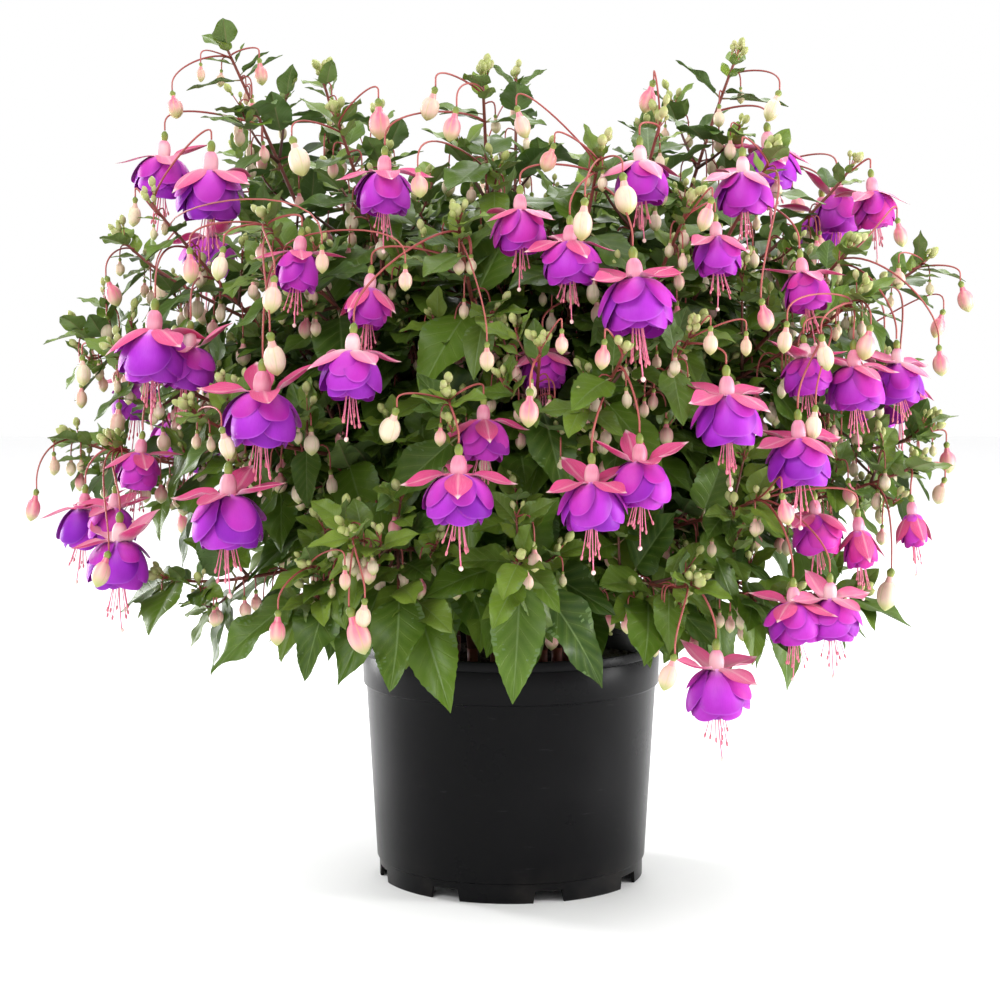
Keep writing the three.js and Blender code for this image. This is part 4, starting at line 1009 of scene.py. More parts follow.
def leafFacing(point, direction):
    outward = (point - Vector((0, 0, stemShape["bushHeight"]))).normalized()
    facing = outward * leafShape["facing"][0] + up * leafShape["facing"][1]
    return (facing - direction * facing.dot(direction)).normalized()


def turnedLeaf(seat, turn):
    point, axis, direction, length, width = seat
    direction = turned(direction, axis, math.radians(turn))
    return point, direction, leafFacing(point, direction), length, width


def alongLeaf(leaf, share):    # a point of the middle line, which droops
    point, direction, _, length, _ = leaf
    return point + direction * length * share - up * length * leafShape["droop"] * 0.5 * share * share


def solidLeaf(seat, solid):    # the turn at which this leaf stands in the solid, or None
    for turn in leafShape["turns"]:
        leaf = turnedLeaf(seat, turn)
        if solid.find(alongLeaf(leaf, 1.0))[2] < leafShape["near"]:
            return leaf
    return None


# leaf blades

def leafOutline(s):    # half width along the blade: round base, widest below the middle, drawn-out tip
    s = np.clip(s, 0, 1)
    return s ** 0.52 * (1 - s) ** 1.02 / 0.380 + 0.012


def addLeaf(pile, leaf, kind, tone, draw):
    point, direction, facing, length, width = leaf
    rows, across = leafShape["grids"][kind]
    s = np.linspace(0, 1, rows)[:, None]
    t = np.array(across)[None, :]
    stalk = max(leafShape["stalk"], 1 - leafShape["largeLength"] / length)
    share = stalk + (1 - stalk) * s
    half = width * 0.5 * leafOutline(s)
    teeth = np.where(np.arange(rows)[:, None] % 2 == 0, 0.0, 1.0) * (kind == "fine")
    reach = half * t * (1 - leafShape["teeth"] * teeth * (np.abs(t) > 0.95))
    phase = draw() * 2 * math.pi
    wave = np.sin(2 * np.pi * s * mix(1.3, 2.1, draw()) + phase + 0.9 * np.sign(t)) * t * t
    away = np.abs(t)
    veins = np.abs(np.sin(np.pi * leafLook["veins"] * (share - leafLook["slant"] * away * (1 - 0.3 * away))))
    quilt = veins * (1 - t ** 4) * np.minimum(1, away * 6) * np.sin(np.pi * s) ** 0.5
    fold = mix(0.7, 1.3, draw()) * leafShape["fold"]
    lift = half * fold * (away - 0.35 * t * t) + length * leafShape["wave"] * wave * np.sin(np.pi * s) ** 0.6
    lift = lift + quilt * length * leafShape["quilt"]
    curl = (draw() - 0.5) * 0.10 * length * s ** 3      # the tip turns up or down
    sway = (draw() - 0.5) * 0.12 * length * s * s       # and to a side
    direction, facing = np.array(direction), np.array(facing)
    side = np.cross(facing, direction)
    start = np.array(point)
    middle = start + direction * (length * share)[..., None] - np.array(up) * (
        length * leafShape["droop"] * 0.5 * share ** 2)[..., None]
    top = middle + side * (reach + sway)[..., None] + facing * (lift + curl)[..., None]
    rib = leafShape["rib"] * np.exp(-(t / 0.08) ** 2) * (1 - 0.7 * s)
    thick = leafShape["thickness"] * (1 - t ** 4) + rib
    under = top - facing * (thick + 0.01)[..., None] * min(1, length / 40)
    pile.grid(top, sheetPlaces(s, t), tone, 0)
    pile.grid(under, sheetPlaces(s, t), tone, 1, flip=True)
    middleLine = [start + direction * length * q - np.array(up) * length * leafShape["droop"] * 0.5 * q * q
                  for q in (0.0, stalk * 0.5, stalk + 0.02)]
    thin = clamp(length * 0.014, 0.25, 0.75)
    addTube(pile, middleLine, [thin * 1.1, thin, thin * 0.8], 5, 2)


# buds

budShape = {
    "girth": 0.242, "ovary": 0.2, "neck": 0.32, "seam": 0.09,
    "body": [(0.0, 0.40), (0.09, 0.68), (0.22, 0.89), (0.42, 1.0), (0.6, 0.96), (0.76, 0.78), (0.88, 0.5),
             (0.955, 0.25), (1.0, 0.05)],
    "ovaryGirth": [(0, 0.035), (0.25, 0.085), (0.5, 0.1), (0.75, 0.085), (1, 0.07)],
    "neckGirth": [(0, 0.068), (0.25, 0.082), (0.7, 0.095), (1, 0.115)],
}


def addBud(pile, top, down, length, pinkness, greenness, draw):
    sides, rows, few = (20, 15, 7) if length > 16 else (16, 11, 5) if length > 8.5 else (9, 8, 4)
    helper = Vector((1, 0, 0)) if abs(down.x) < 0.8 else Vector((0, 1, 0))
    axis, first = np.array(down), np.array(down.cross(helper).normalized())
    second = np.cross(axis, first)
    turn = draw() * math.pi
    share = np.arange(sides + 1) / sides
    angle = turn + 2 * np.pi * share
    ring = first * np.cos(angle)[:, None] - second * np.sin(angle)[:, None]
    seams = 1 - budShape["seam"] * np.exp(-(((share * 4) % 1 - 0.5) / 0.13) ** 2)

    def part(keys, width, start, end, count, along, tone, slot, seamed=False):
        s = np.linspace(0, 1, count)
        radius = (through(keys, s) * width)[:, None] * (seams if seamed else 1 + 0 * share)
        points = (np.array(top) + axis * (length * mix(start, end, s))[:, None, None]
                  + ring * radius[..., None])
        place = np.stack(np.meshgrid(along * s, share, indexing="ij"), -1)
        pile.grid(points, place, tone, slot)

    width = length * budShape["girth"] * mix(0.92, 1.12, draw())
    part(budShape["body"], width, budShape["neck"], 1.0, rows, 1.0, (pinkness, greenness), 0, True)
    part(budShape["ovaryGirth"], length, 0, budShape["ovary"], few, 1.0, (0.5, greenness), 1)
    part(budShape["neckGirth"], length, budShape["ovary"] - 0.01, budShape["neck"] + 0.02, few - 1, 0.1,
         (min(1, pinkness + 0.35), greenness * 0.9), 0)


# flowers

flowerShape = {
    "gap": 0.35,
    "ovary": [(0.0, 0.7), (-1.0, 1.7), (-2.8, 2.4), (-4.8, 2.3), (-6.6, 1.75)],
    "tube": [(-6.3, 1.9), (-7.2, 2.9), (-9.0, 3.9), (-11.5, 4.45), (-14.5, 4.5), (-17.0, 4.1)],
    "hinge": 3.9, "mouth": -16.2,
    "sepalLength": 29.5, "sepalWidth": 15.6, "sepalThickness": 0.5,
    "sepalOutline": [(0, 0.46), (0.1, 0.6), (0.26, 0.9), (0.42, 1.0), (0.58, 0.9), (0.76, 0.56), (0.9, 0.2),
                     (0.96, 0.09), (1, 0.02)],
    # slopes below the level, from the tube's mouth to the tip
    "draped": [(0, 0.0), (0.1, 0.22), (0.3, 0.5), (0.6, 0.76), (1, 0.9)],
    "spread": [(0, 0.1), (0.1, 0.14), (0.35, 0.2), (0.7, 0.1), (1, -0.25)],
    "raised": [(0, -0.2), (0.1, -0.4), (0.35, -0.75), (0.7, -0.8), (1, -0.45)],
    "closedSepal": [(0, 0.95), (0.1, 1.15), (0.3, 1.3), (0.6, 1.42), (1, 1.5)],
    "closed": 0.36,
    "petalThickness": 0.3,
    "tiers": [
        {"count": 4, "turn": 0.785, "half": 1.0, "overlap": 1.6, "round": 0.4, "ruffle": 0.6, "cup": 0.15,
         "grid": (17, 15),
         "radius": [(0, 3.0), (0.1, 6.2), (0.25, 10.8), (0.45, 15.2), (0.7, 18.0), (0.88, 18.1), (1, 16.8)],
         "height": [(0, -16.4), (0.1, -17.4), (0.25, -20.2), (0.45, -25.4), (0.7, -33.2), (0.88, -39.0),
                    (1, -42.0)]},
        {"count": 4, "turn": 0.1, "half": 0.98, "overlap": 1.1, "round": 0.3, "ruffle": 1.0, "cup": 0.11,
         "grid": (13, 13),
         "radius": [(0, 2.4), (0.15, 7.4), (0.35, 11.8), (0.6, 14.6), (0.85, 14.6), (1, 13.2)],
         "height": [(0, -17.0), (0.15, -19.8), (0.35, -26.0), (0.6, -34.6), (0.85, -42.4), (1, -45.6)]},
        {"count": 4, "turn": 0.6, "half": 0.95, "overlap": 0.8, "round": 0.2, "ruffle": 0.9, "cup": 0.03,
         "grid": (9, 9),
         "radius": [(0, 2.0), (0.2, 6.0), (0.5, 9.2), (0.8, 9.8), (1, 9.0)],
         "height": [(0, -18.5), (0.2, -22.0), (0.5, -32.0), (0.8, -41.0), (1, -45.0)]},
    ],
    # short upper petals, which lie on the outer tier
    "petaloids": {"count": 6, "chance": 0.8, "half": 0.64, "length": (0.5, 0.8), "raise": 2.3, "round": 0.5,
                  "cup": 0.07, "overlap": 0.7},
    "threads": 8, "threadRadius": 0.32, "threadRing": 1.8, "threadStart": -30, "threadEnds": (-52, -61),
    "swing": (2.5, 9.0), "anther": (0.75, 1.7), "styleEnd": -69, "styleRadius": 0.42,
    "stigma": (1.35, 1.5525),
}


def flowerPlace(x, y, z, turn, lean, size):    # from a flower that hangs below the origin
    outward = math.atan2(y, x)
    tilt = Quaternion((-math.sin(outward), math.cos(outward), 0), -math.radians(lean))
    spin = Quaternion(up, math.radians(turn))
    return (Matrix.Translation((x, y, z - flowerShape["gap"])) @ (tilt @ spin).to_matrix().to_4x4()
            @ Matrix.Scale(size, 4))


def moved(points, place):
    place = np.array(place)
    return points @ place[:3, :3].T + place[:3, 3]


def addSheet(pile, points, place, tone, thickness, slots, where):    # a petal with an outside and an inside
    ahead, across = np.gradient(points, axis=0), np.gradient(points, axis=1)
    normal = unit(np.cross(ahead, across))
    rows, columns = points.shape[:2]
    i, j = np.linspace(0, 1, rows)[:, None], np.linspace(-1, 1, columns)[None, :]
    thick = thickness * (1 - i ** 6) * (1 - j ** 6) + 0.01
    pile.grid(moved(points, where), place, tone, slots[0])
    pile.grid(moved(points - normal * thick[..., None], where), place, tone, slots[1], flip=True)


def addPetal(pile, tier, turn, length, wide, tone, where, draw, half, raised=0.0):
    s = np.linspace(0, 1, tier["grid"][0])[:, None]
    t = np.linspace(-1, 1, tier["grid"][1])[None, :]
    reach = length * s * (1 - tier["round"] * np.abs(t) ** 2.6)           # rounded to the sides
    angle = turn + t * half * (0.62 + 0.38 * np.minimum(1, s * 2.2))      # narrower at the foot
    radius = through(tier["radius"], reach)
    height = through(tier["height"], reach)
    wobble = 2 * math.pi * draw()
    rise = np.minimum(1, s * 3)
    radius = radius * (1 - tier["cup"] * t * t * rise) + tier["overlap"] * t * rise + raised * rise
    radius = radius + tier["ruffle"] * np.sin(2.6 * t + wobble) * s ** 3  # waved towards the rim
    radius = radius + 0.35 * np.cos(4.5 * t + wobble) * s ** 2 + mix(-0.7, 0.9, draw()) * s ** 2
    height = height + tier["ruffle"] * 0.6 * np.cos(3.4 * t + wobble) * s ** 4
    edge = np.clip((np.abs(t) - 0.72) / 0.28, 0, 1) ** 2
    radius = radius + mix(0.2, 1.3, draw()) * edge * (t > 0) * s * (1 - 0.4 * s)    # the free side rolls out
    radius = radius * (1 + (wide - 1) * np.minimum(1, s * 2.5))           # half-open flowers are slimmer
    points = np.stack([radius * np.cos(angle), radius * np.sin(angle), height], -1)
    addSheet(pile, points, sheetPlaces(s, t), tone, flowerShape["petalThickness"], (2, 3), where)


def addSepal(pile, angle, fall, cup, twist, tone, where):
    rows, columns = 17, 11
    shape = flowerShape
    s = np.linspace(0, 1, rows)
    t = np.linspace(-1, 1, columns)[None, :]
    slope = fall(s)
    step = shape["sepalLength"] / (rows - 1)
    # the middle line in its own plane, x outward, then the blade across it
    x = shape["hinge"] + np.concatenate([[0], np.cumsum(np.cos(slope[:-1]) * step)])
    z = shape["mouth"] - np.concatenate([[0], np.cumsum(np.sin(slope[:-1]) * step)])
    half = (shape["sepalWidth"] / 2 * through(shape["sepalOutline"], s))[:, None]
    foot = (1 - np.clip(s / 0.22, 0, 1))[:, None]                         # where it still follows the tube
    bow = -foot * half * 0.45 + (1 - foot) * cup * half
    roll = twist * np.clip((s - 0.08) / 0.5, 0, 1)[:, None]
    flat, deep = half * t, bow * t * t + 0.1 * np.exp(-(t / 0.18) ** 2)
    across = flat * np.cos(roll) - deep * np.sin(roll)
    lifted = flat * np.sin(roll) + deep * np.cos(roll)
    outward = np.array([math.cos(angle), math.sin(angle), 0])
    side = np.array([-math.sin(angle), math.cos(angle), 0])
    above = np.sin(slope)[:, None] * outward + np.cos(slope)[:, None] * np.array(up)
    points = (outward * x[:, None] + np.array(up) * z[:, None])[:, None] + side * across[..., None]
    points = points + above[:, None] * lifted[..., None]
    place = sheetPlaces(0.3 + 0.7 * s[:, None], t)
    addSheet(pile, points, place, tone, shape["sepalThickness"], (0, 1), where)


def addTurned(pile, profile, rows, sides, place, tone, slot, where, ribs=0.0):
    s = np.linspace(0, 1, rows)
    keys = np.array(profile, float)
    share = (keys[:, 0] - keys[0, 0]) / (keys[-1, 0] - keys[0, 0])
    radius = through(np.stack([share, keys[:, 1]], -1), s)
    z = mix(keys[0, 0], keys[-1, 0], s)
    angle = 2 * np.pi * np.arange(sides) / sides
    wide = radius[:, None] * (1 + ribs * np.cos(4 * angle))
    points = np.stack([wide * np.cos(angle), wide * np.sin(angle), z[:, None] + 0 * angle], -1)
    grid = np.stack(np.meshgrid(mix(*place, s), np.arange(sides) / sides, indexing="ij"), -1)
    pile.grid(moved(points, where), grid, tone, slot, wrap=True)


def addFlower(pile, flower, draw):
    x, y, z, turn, lean, size, opened, magenta = flower
    where = flowerPlace(x, y, z, turn, lean, size)
    shape = flowerShape
    pale = clamp(draw() * 1.5 - 0.4 - 0.5 * magenta)
    addTurned(pile, shape["ovary"], 9, 14, (0.1, 1.0), (0.5, 0.5), 4, where)
    addTurned(pile, shape["tube"], 12, 24, (0.0, 0.3), (draw(), clamp(pale + 0.35)), 0, where, ribs=0.03)
    addSepals(pile, flower, pale, where, draw)
    wide = mix(shape["closed"], 1, opened)
    for tier in shape["tiers"]:
        for k in range(tier["count"]):
            angle = tier["turn"] + 2 * math.pi * (k + 0.14 * (draw() - 0.5)) / tier["count"]
            addPetal(pile, tier, angle, mix(0.93, 1.0, draw()), wide * mix(0.95, 1.05, draw()),
                     (draw(), magenta), where, draw, tier["half"])
    small = {**shape["tiers"][0], **shape["petaloids"]}
    for k in range(small["count"]):
        if opened > 0.6 and draw() < small["chance"]:
            angle = (k + 0.5 + 0.7 * (draw() - 0.5)) * 2 * math.pi / small["count"]
            addPetal(pile, small, angle, mix(*small["length"], draw()), wide,
                     (0.4 + 0.6 * draw(), clamp(magenta + 0.4)), where, draw,
                     small["half"] * mix(0.8, 1.1, draw()), small["raise"])
    addThreads(pile, where, size, wide, draw)


def addSepals(pile, flower, pale, where, draw):
    shape = flowerShape
    facing = math.atan2(flower[1], flower[0]) - math.radians(flower[3])    # outward, seen by the flower
    habit = draw()                             # low: sepals raised, high: sepals hang over the corolla
    for k in range(4):
        angle = (k / 4 + 0.25) * 2 * math.pi
        front = math.cos(angle - facing)
        sideways = math.sin(angle - facing)
        droop = clamp(habit * 1.3 - 0.7 + 0.55 * front + 0.5 * (draw() - 0.5), -1)
        shift = mix(-0.12, 0.12, draw())
        shut = clamp((0.95 - flower[6]) * 1.5)

        def fall(s, droop=droop, shift=shift):
            bent = through(shape["draped"] if droop > 0 else shape["raised"], s)
            slope = mix(through(shape["spread"], s), bent, abs(droop))
            return mix(slope + shift * s, through(shape["closedSepal"], s), shut)
        cup = mix(0.35, -0.32, clamp(droop * 1.3)) * (1 - shut) - 0.4 * shut
        twist = mix(0.6, 0.1, abs(droop)) * sideways * mix(0.5, 1.1, draw()) * (1 - shut)
        addSepal(pile, angle, fall, cup, twist + mix(-0.15, 0.15, draw()), (draw(), pale), where)


def addThreads(pile, where, size, wide, draw):
    shape = flowerShape
    start = shape["threadStart"]
    for k in range(shape["threads"]):
        angle = 2 * math.pi * (k + 0.5 * draw()) / shape["threads"]
        end = mix(*shape["threadEnds"], draw())
        swing = mix(*shape["swing"], draw()) * wide
        bend = mix(-0.5, 0.5, draw())
        points = [around(angle + bend * q, mix(shape["threadRing"], swing, q ** 1.4), mix(start, end, q))
                  for q in (0, 0.2, 0.4, 0.6, 0.8, 1)]
        addThread(pile, points, where, size, shape["threadRadius"], 6, shape["anther"], 6)
    sway = (mix(-1.8, 1.8, draw()), mix(-1.8, 1.8, draw()))
    points = [Vector((sway[0] * q * q, sway[1] * q * q, mix(start, shape["styleEnd"], q)))
              for q in (0, 0.3, 0.6, 0.85, 1)]
    addThread(pile, points, where, size, shape["styleRadius"], 7, shape["stigma"], 7)


def addThread(pile, points, where, size, radius, sides, knob, slot):    # with its anther or stigma
    points = [where @ point for point in points]
    addTube(pile, points, [radius * size] * len(points), sides, 5)
    end, axis = points[-1], (points[-1] - points[-2]).normalized()
    s = np.linspace(0, 1, 7)
    radii = knob[0] * size * np.sqrt(np.maximum(0.02, 1 - (2 * s - 1) ** 2))
    addTube(pile, [end + axis * (knob[1] * size) * (2 * q - 1) for q in s], radii, 8, slot)


# what leaves keep clear of, and where leaves already are
keepClear = []
crowd = {}
cell = 12.0

growth = {
    "seed": 700, "gap": 9.0, "rimRadius": 104, "rimHeight": 154, "nodeGap": (22, 36),
    # tests of a leaf: its middle and how far that droops, places along it and their widths, room in the box
    "middle": 0.62, "middleDroop": 0.19, "samples": (0.35, 0.65, 1.0), "widths": (0.3, 0.32, 0.05),
    "pastBox": 10,
    "twigChance": 0.75, "twigLength": (22, 88), "twigRise": 0.35, "pairGap": (13, 22), "innerTwigs": 13,
    "innerHeights": (164, 425), "innerReach": (0.74, 1.03),
    "crownTwigs": 4, "crownHeights": (300, 400), "crownReach": (8, 78), "crownRoots": (0.28, 0.5),
    # radii at both ends, lengths of leaves, share without leaves, how rich the tip is
    "sideTwig": {"radii": (1.25, 0.55), "sizes": (22, 52), "bare": 0.2, "rich": 0.35},
    "innerTwig": {"radii": (1.5, 0.6), "sizes": (36, 56), "bare": 0.35, "rich": 0.0},
    # how many at least and more, where (back from the tip in mm, or share of the twig), stalk, length
    "shootBuds": {"count": (7, 4.99), "back": (4, 90), "stalk": (12, 30), "length": (9, 18)},
    "twigBuds": {"count": (0, 2.6), "share": (0.7, 0.97), "stalk": (12, 24), "length": (9, 17)},
    # where young, light leaves stand: x, y, z, how far around
    "youngPlaces": [(-92, -222, 236, 40), (-60, -226, 232, 30), (46, -204, 214, 30), (24, -206, 198, 22)],
}


# opposite leaves along a stem; the ends ...At and youngUntil are ways back from its tip
pairShape = {
    "tipGap": (4, 9), "fullAt": 60, "young": 0.75, "youngUntil": 45, "youthVaries": (0.4, 1.0),
    "turnVaries": (-0.3, 0.3), "spread": (38, 68), "spreadAt": 40, "spreadVaries": (-10, 10), "sagAt": 30,
    "width": (0.5, 0.58), "smallGap": 4.0, "quarterVaries": (-0.15, 0.15), "gapVaries": (0.85, 1.15),
}

# the growing end of a stem: pairs as way back from the tip, youth and length, then tiny upright buds
tipShape = {
    "pairs": [(7, 0.95, 12), (15, 0.8, 20)], "spread": (22, 55), "spreadAt": 24, "spreadVaries": (-8, 8),
    "sizeVaries": (0.8, 1.15), "width": 0.48, "youthVaries": (0.6, 1), "gap": 3.0, "budLean": 0.7,
    "budBack": (1, 7), "budStalk": (3, 9), "budLength": (5, 10), "budPink": 0.1, "budGreen": (0.7, 1),
    "stalkRadius": 0.35,
}

# a small bud that nods: how far it hangs down and out in lengths of its stalk, and how it colours
nodShape = {
    "out": 0.5, "down": (0.3, 0.75), "room": 0.25, "leaving": 0.15, "arriving": 0.4, "radii": (0.5, 0.45),
    "pinkFrom": 8, "lean": 0.12,
}

# side twigs: where they start and how they leave; ...At are ways back from the shoot's tip
twigShape = {
    "bare": (24, 66), "highFrom": 380, "highSpan": 90, "bareVaries": (1, 1.3), "lowest": 0.28,
    "turnVaries": (-0.4, 0.4), "fullAt": 170, "reachVaries": (0.7, 1.15), "along": 0.7, "aside": 0.9,
    "bend": 0.75, "riseVaries": (0.2, 1), "pastRim": 8, "overRim": 14, "leaving": 0.4, "arriving": 0.3,
    "gapAt": 90, "gapVaries": (0.85, 1.2),
}


# what stays free of leaves, the parts of a flower as upper end, lower end and radius
clearing = {
    "flower": [(-24, -50, 20), (4, -18, 11)], "middle": -26, "sight": 55, "sightRadius": 15, "front": -20,
    "frontSight": (0, -60, 5), "budGirth": 0.3, "budRoom": 2, "budSight": 25,
    "frontSoil": [((46, -92, 160), (50, -150, 168), 24)],    # the photo shows the soil here
}


def addClear(a, b, radius):
    keepClear.append((*a, *b, radius))


def isClear(points, extra):
    a, b, radius = clearRows[:, :3], clearRows[:, 3:6], clearRows[:, 6]
    along = b - a
    away = points[:, None] - a
    share = np.clip((away * along).sum(-1) / np.maximum((along ** 2).sum(-1), 1e-9), 0, 1)
    return bool(np.all(np.linalg.norm(away - along * share[..., None], axis=-1) > radius + extra[:, None]))


def cellOf(point):
    return tuple(int(math.floor(value / cell)) for value in point)


def isRoomy(point, gap):    # no other leaf's middle nearer than the gap
    x, y, z = cellOf(point)
    for away in product((-1, 0, 1), repeat=3):
        for other in crowd.get((x + away[0], y + away[1], z + away[2]), ()):
            if (other - point).length < gap:
                return False
    return True


def noteLeaf(point):
    crowd.setdefault(cellOf(point), []).append(point)


def leafMiddle(leaf):
    point, direction, _, length, _ = leaf
    low = up * length * leafShape["droop"] * growth["middleDroop"]
    return point + direction * length * growth["middle"] - low


def tryLeaf(plan, leaf, youth, draw, gap):
    samples = [alongLeaf(leaf, share) for share in growth["samples"]]
    for sample in samples:
        if math.hypot(sample.x, sample.y) < growth["rimRadius"] and sample.z < growth["rimHeight"]:
            return
        if not all(low - growth["pastBox"] < value < high + growth["pastBox"]
                   for low, value, high in zip(boxLow, sample, boxHigh)):
            return
    if isRoomy(leafMiddle(leaf), gap) and isClear(np.array(samples), np.array(growth["widths"]) * leaf[4]):
        keepLeaf(plan, leaf, youth, draw)


def keepLeaf(plan, leaf, youth, draw):
    length = leaf[3]
    noteLeaf(leafMiddle(leaf))
    for x, y, z, reach in growth["youngPlaces"]:
        near = (leaf[0] + leaf[1] * length * 0.5 - Vector((x, y, z))).length / reach
        youth = max(youth, 0.7 * clamp(1.6 - 1.6 * near) * (length < leafShape["largeLength"]))
    outside = leaf[0].xy.length > 120 or leaf[0].z > 400
    kind = "fine" if length > 36 and outside else "plain" if length > 20 else "small"
    plan["leaves"].append((leaf, kind, (draw(), youth)))


def pairsAlong(plan, at, length, sizes, draw, first=0.25, gap=None):
    # opposite leaves at nodes along a stem, each pair turned a quarter against the one before
    gaps = growth["pairGap"] if gap is None else gap
    spot = length - mix(*pairShape["tipGap"], draw())
    turn = draw() * math.pi
    while spot > length * first:
        share = spot / length
        point, axis = at(share), (at(min(1, share + 0.01)) - at(share - 0.01)).normalized()
        side = crosswise(axis)
        toTip = length - spot
        size = mix(*sizes, min(1, toTip / pairShape["fullAt"]))
        youth = clamp(pairShape["young"] - toTip / pairShape["youngUntil"])
        youth *= mix(*pairShape["youthVaries"], draw())
        for pair in range(2):
            sideways = turned(side, axis, turn + pair * math.pi + mix(*pairShape["turnVaries"], draw()))
            spread = mix(*pairShape["spread"], min(1, toTip / pairShape["spreadAt"]))
            angle = math.radians(spread + mix(*pairShape["spreadVaries"], draw()))
            sag = up * leafShape["sag"] * min(1, toTip / pairShape["sagAt"])
            direction = (opened(axis, sideways, angle) - sag).normalized()
            long = size * mix(*leafShape["lengthSpread"], draw())
            width = long * mix(*pairShape["width"], draw())
            leaf = (point, direction, leafFacing(point, direction), long, width)
            tryLeaf(plan, leaf, youth, draw, growth["gap"] if long > 20 else pairShape["smallGap"])
        turn += math.pi / 2 + mix(*pairShape["quarterVaries"], draw())
        spot -= mix(*gaps, min(1, toTip / pairShape["fullAt"])) * mix(*pairShape["gapVaries"], draw())


def tipCluster(plan, tip, heading, rich, draw):
    # the growing end: young leaves that stand up, tiny buds between them
    for back, youth, size in tipShape["pairs"]:
        side = Vector((0.3, 0.1, 1)).cross(heading)
        side = side.normalized() if side.length > 0.05 else Vector((1, 0, 0))
        turn = draw() * math.pi
        for pair in range(2):
            sideways = turned(side, heading, turn + pair * math.pi)
            spread = mix(*tipShape["spread"], back / tipShape["spreadAt"])
            angle = math.radians(spread + mix(*tipShape["spreadVaries"], draw()))
            direction = opened(heading, sideways, angle).normalized()
            point = tip - heading * back
            long = size * mix(*tipShape["sizeVaries"], draw())
            leaf = (point, direction, leafFacing(point, direction), long, long * tipShape["width"])
            tryLeaf(plan, leaf, youth * mix(*tipShape["youthVaries"], draw()), draw, tipShape["gap"])
    for _ in range(2 + int(rich * 2) + int(rich * 3.99 * draw())):
        lean = Vector((mix(-1, 1, draw()), mix(-1, 1, draw()), mix(0.2, 1, draw())))
        direction = (heading + lean * tipShape["budLean"]).normalized()
        start = tip - heading * mix(*tipShape["budBack"], draw())
        stalk, thick = mix(*tipShape["budStalk"], draw()), tipShape["stalkRadius"]
        plan["stalks"].append((lambda t, a=start, d=direction, s=stalk: a + d * s * t, thick, thick, 3))
        length = mix(*tipShape["budLength"], draw())
        plan["buds"].append((start + direction * stalk, direction, length, tipShape["budPink"],
                             mix(*tipShape["budGreen"], draw())))


def noddingBud(plan, start, outward, stalk, length, draw):
    shape = nodShape
    flat = Vector((outward.x, outward.y, 0)) * stalk * shape["out"]
    top = start + (flat - up * stalk * mix(*shape["down"], draw()))
    if not isClear(np.array([tuple(top - up * length * 0.5)]), np.array([length * shape["room"]])):
        return
    at = bezier(start, start + outward * stalk * shape["out"] + up * stalk * shape["leaving"],
                top + up * stalk * shape["arriving"], top)
    plan["stalks"].append((at, *shape["radii"], 6))
    pink = clamp((length - shape["pinkFrom"]) / 8) * clamp(1.8 * draw() - 0.4)
    down = (-up + outward * shape["lean"] * draw()).normalized()
    plan["buds"].append((top, down, length, pink, clamp(1.6 - length / 8)))


def anyWay(draw):    # outward to some side and a little up
    return around(draw() * 2 * math.pi, 1.0, 0.25).normalized()


def countOf(buds, draw):
    least, more = buds["count"]
    return least + int(more * draw())


def growTwig(plan, at, twig, draw):
    length = curveLength(at, 12)
    plan["stems"].append((at, *twig["radii"], max(4, int(length / 9))))
    pairsAlong(plan, at, length, twig["sizes"], draw, twig["bare"])
    tipCluster(plan, at(1), (at(1) - at(0.97)).normalized(), twig["rich"], draw)
    buds = growth["twigBuds"]
    for _ in range(countOf(buds, draw)):
        outward = anyWay(draw)
        noddingBud(plan, at(mix(*buds["share"], draw())), outward, mix(*buds["stalk"], draw()),
                   mix(*buds["length"], draw()), draw)


def solidTree(node):    # the corners of a CAD node, to find what the solid has and where
    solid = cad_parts[node]
    tree = KDTree(len(solid.data.vertices))
    for k, vertex in enumerate(solid.data.vertices):
        tree.insert(solid.matrix_world @ vertex.co / mm, k)
    tree.balance()
    return tree


def budTop(x, y, z, length):
    return Vector((x, y, z + length / 2))


def flowersOf(limb):
    return [flower for group in limb["flowers"] for flower in group]


def frameLimb(index):    # what the solids settle: shoots, hanging stalks and the leaves they have
    limb = limbs[index]
    main = mainShoot(limb)
    shoots = [main] + [sideShoot(place, main) for place in limb["shoots"][1:]]
    solid = solidTree("limb_%02d" % (index + 1))
    plan = {"index": index, "shoots": shoots, "leaves": [], "stems": [], "stalks": [], "buds": []}
    plan["hung"] = [(findStalk(shoots, budTop(*bud), solid), bud) for bud in limb["buds"]]
    plan["bloomStalks"] = [findStalk(shoots, Vector(flower[:3]), solid) for flower in flowersOf(limb)]
    large = [largeSeat(shoots, tip) for tip in limb["leaves"]]
    draw = draws(100 + index)
    for _ in range(3 * len(coreShape["profile"])):    # the solid draws these for its core
        draw()
    seats = coreSeats(limb, draw)
    for shoot in shoots:
        seats += leafSeats(shoot, draw)
    plan["largeLeaves"] = [leaf for leaf in (solidLeaf(seat, solid) for seat in large) if leaf]
    found = [solidLeaf(seat, solid) for seat in seats]
    plan["solidLeaves"] = plan["largeLeaves"] + [leaf for leaf in found if leaf]
    return plan


